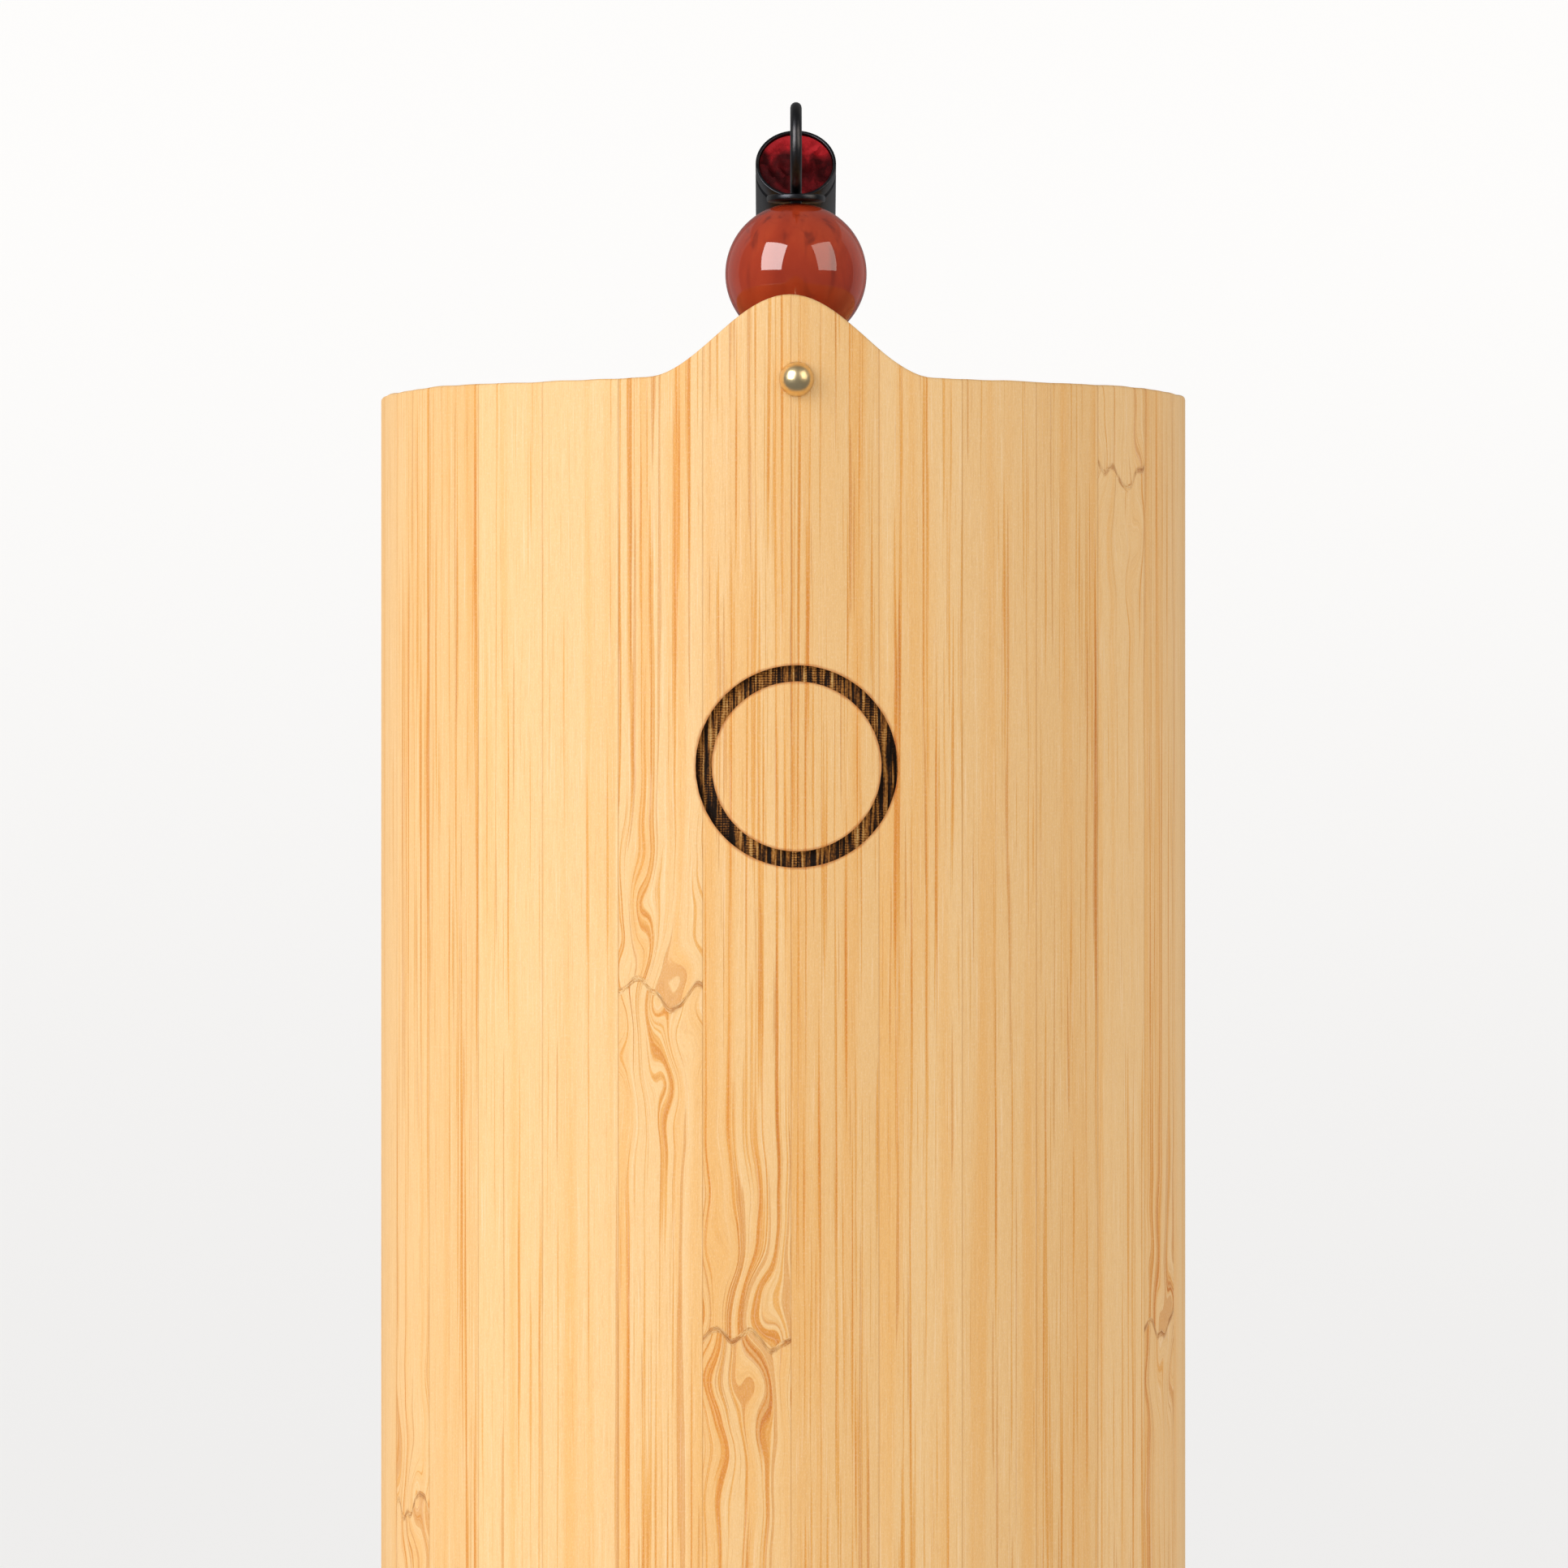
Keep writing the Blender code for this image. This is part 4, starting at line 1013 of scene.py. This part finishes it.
def make_studio():
    """A pale bowl that glows faintly, two soft boxes in front, and gleams that only reflections show."""
    flat, bend, top = 2.4, 1.6, 4.2
    arc = [math.pi / 2 * k / 24 for k in range(25)]
    curve = [(flat + bend * math.sin(a), bend * (1 - math.cos(a))) for a in arc]
    outline = [(0, 0), *curve, (flat + bend, top)]
    bm = turned(outline, 128)
    inside = Vector((0, 0, 1.5))
    outward = [f for f in bm.faces if f.normal.dot(inside - f.calc_center_median()) < 0]
    bmesh.ops.reverse_faces(bm, faces=outward)
    moved(bm, (0, 0, cad_low.z - BACKDROP_BELOW))
    paint = Paint("pale_paper", Roughness=0.9, Specular_IOR_Level=0.1, Emission_Strength=1.0)
    paint.shader.inputs["Base Color"].default_value = (0.20, 0.20, 0.20, 1)
    high = paint.place()[2]
    greys = [(0.0, (0.72, 0.713, 0.705)), (1.0, (0.84, 0.832, 0.822))]
    paint.done(Emission_Color=paint.ramp(paint.rise(high, -550, 350), greys))
    mesh = bpy.data.meshes.new("backdrop")
    bm.to_mesh(mesh)
    bm.free()
    mesh.shade_smooth()
    mesh.materials.append(paint.material)
    backdrop = bpy.data.objects.new("backdrop", mesh)
    backdrop.visible_glossy = False
    bpy.context.scene.collection.objects.link(backdrop)

    world = bpy.data.worlds.new("studio")
    world.use_nodes = True
    world.node_tree.nodes["Background"].inputs["Color"].default_value = (0.2, 0.2, 0.205, 1)
    bpy.context.scene.world = world

    chime = Vector((TUBE_X, 0, RIM_Z))
    add_light("left_box", chime, -60, 22, 0.90, (0.90, 0.86), 2.0, (1.0, 0.985, 0.97), "visible_glossy")
    add_light("right_box", chime, 50, 25, 0.90, (0.72, 0.86), 0.34, (1.0, 0.97, 0.94), "visible_glossy")
    add_light("left_gleam", chime, -41, 25, 0.88, (0.58, 0.68), 8.5, (1.0, 0.985, 0.97), "visible_diffuse")
    add_light("right_gleam", chime, 53, 24, 0.88, (0.54, 0.66), 3.1, (1.0, 0.92, 0.82), "visible_diffuse")
    add_light("rear_gleam", chime, 128, 5, 1.2, (0.9, 1.6), 0.22, (1.0, 0.99, 0.98), "visible_diffuse")
    add_light("far_gleam", chime, -128, 5, 1.2, (0.9, 1.6), 0.22, (1.0, 0.99, 0.98), "visible_diffuse")
    bpy.context.scene.view_settings.view_transform = "Standard"


def add_light(name, aim, azimuth, elevation, distance, size, radiance, colour, unseen):
    """A soft box seen from the chime at an azimuth from -Y towards +X and an elevation, in degrees."""
    a, e = math.radians(azimuth), math.radians(elevation)
    back = Vector((math.sin(a) * math.cos(e), -math.cos(a) * math.cos(e), math.sin(e)))
    data = bpy.data.lights.new(name, "AREA")
    data.shape = "RECTANGLE"
    data.size, data.size_y = size
    data.energy = radiance * math.pi * size[0] * size[1]
    data.color = colour
    light = bpy.data.objects.new(name, data)
    light.location = aim + back * distance
    light.rotation_euler = back.to_track_quat("Z", "Y").to_euler()
    light.visible_camera = False
    setattr(light, unseen, False)  # the kind of ray that it doesn't light
    bpy.context.scene.collection.objects.link(light)


# ---- the scene -------------------------------------------------------------

make_camera()
materials = make_materials()
make_sail_cord()
make_inner_cords()
make_sleeve(*make_hanger_wire())
make_hanger_trim()
make_bead()
make_tube()
make_rod()
make_bottom()
make_yoke()
make_striker()
make_sail()
make_studio()
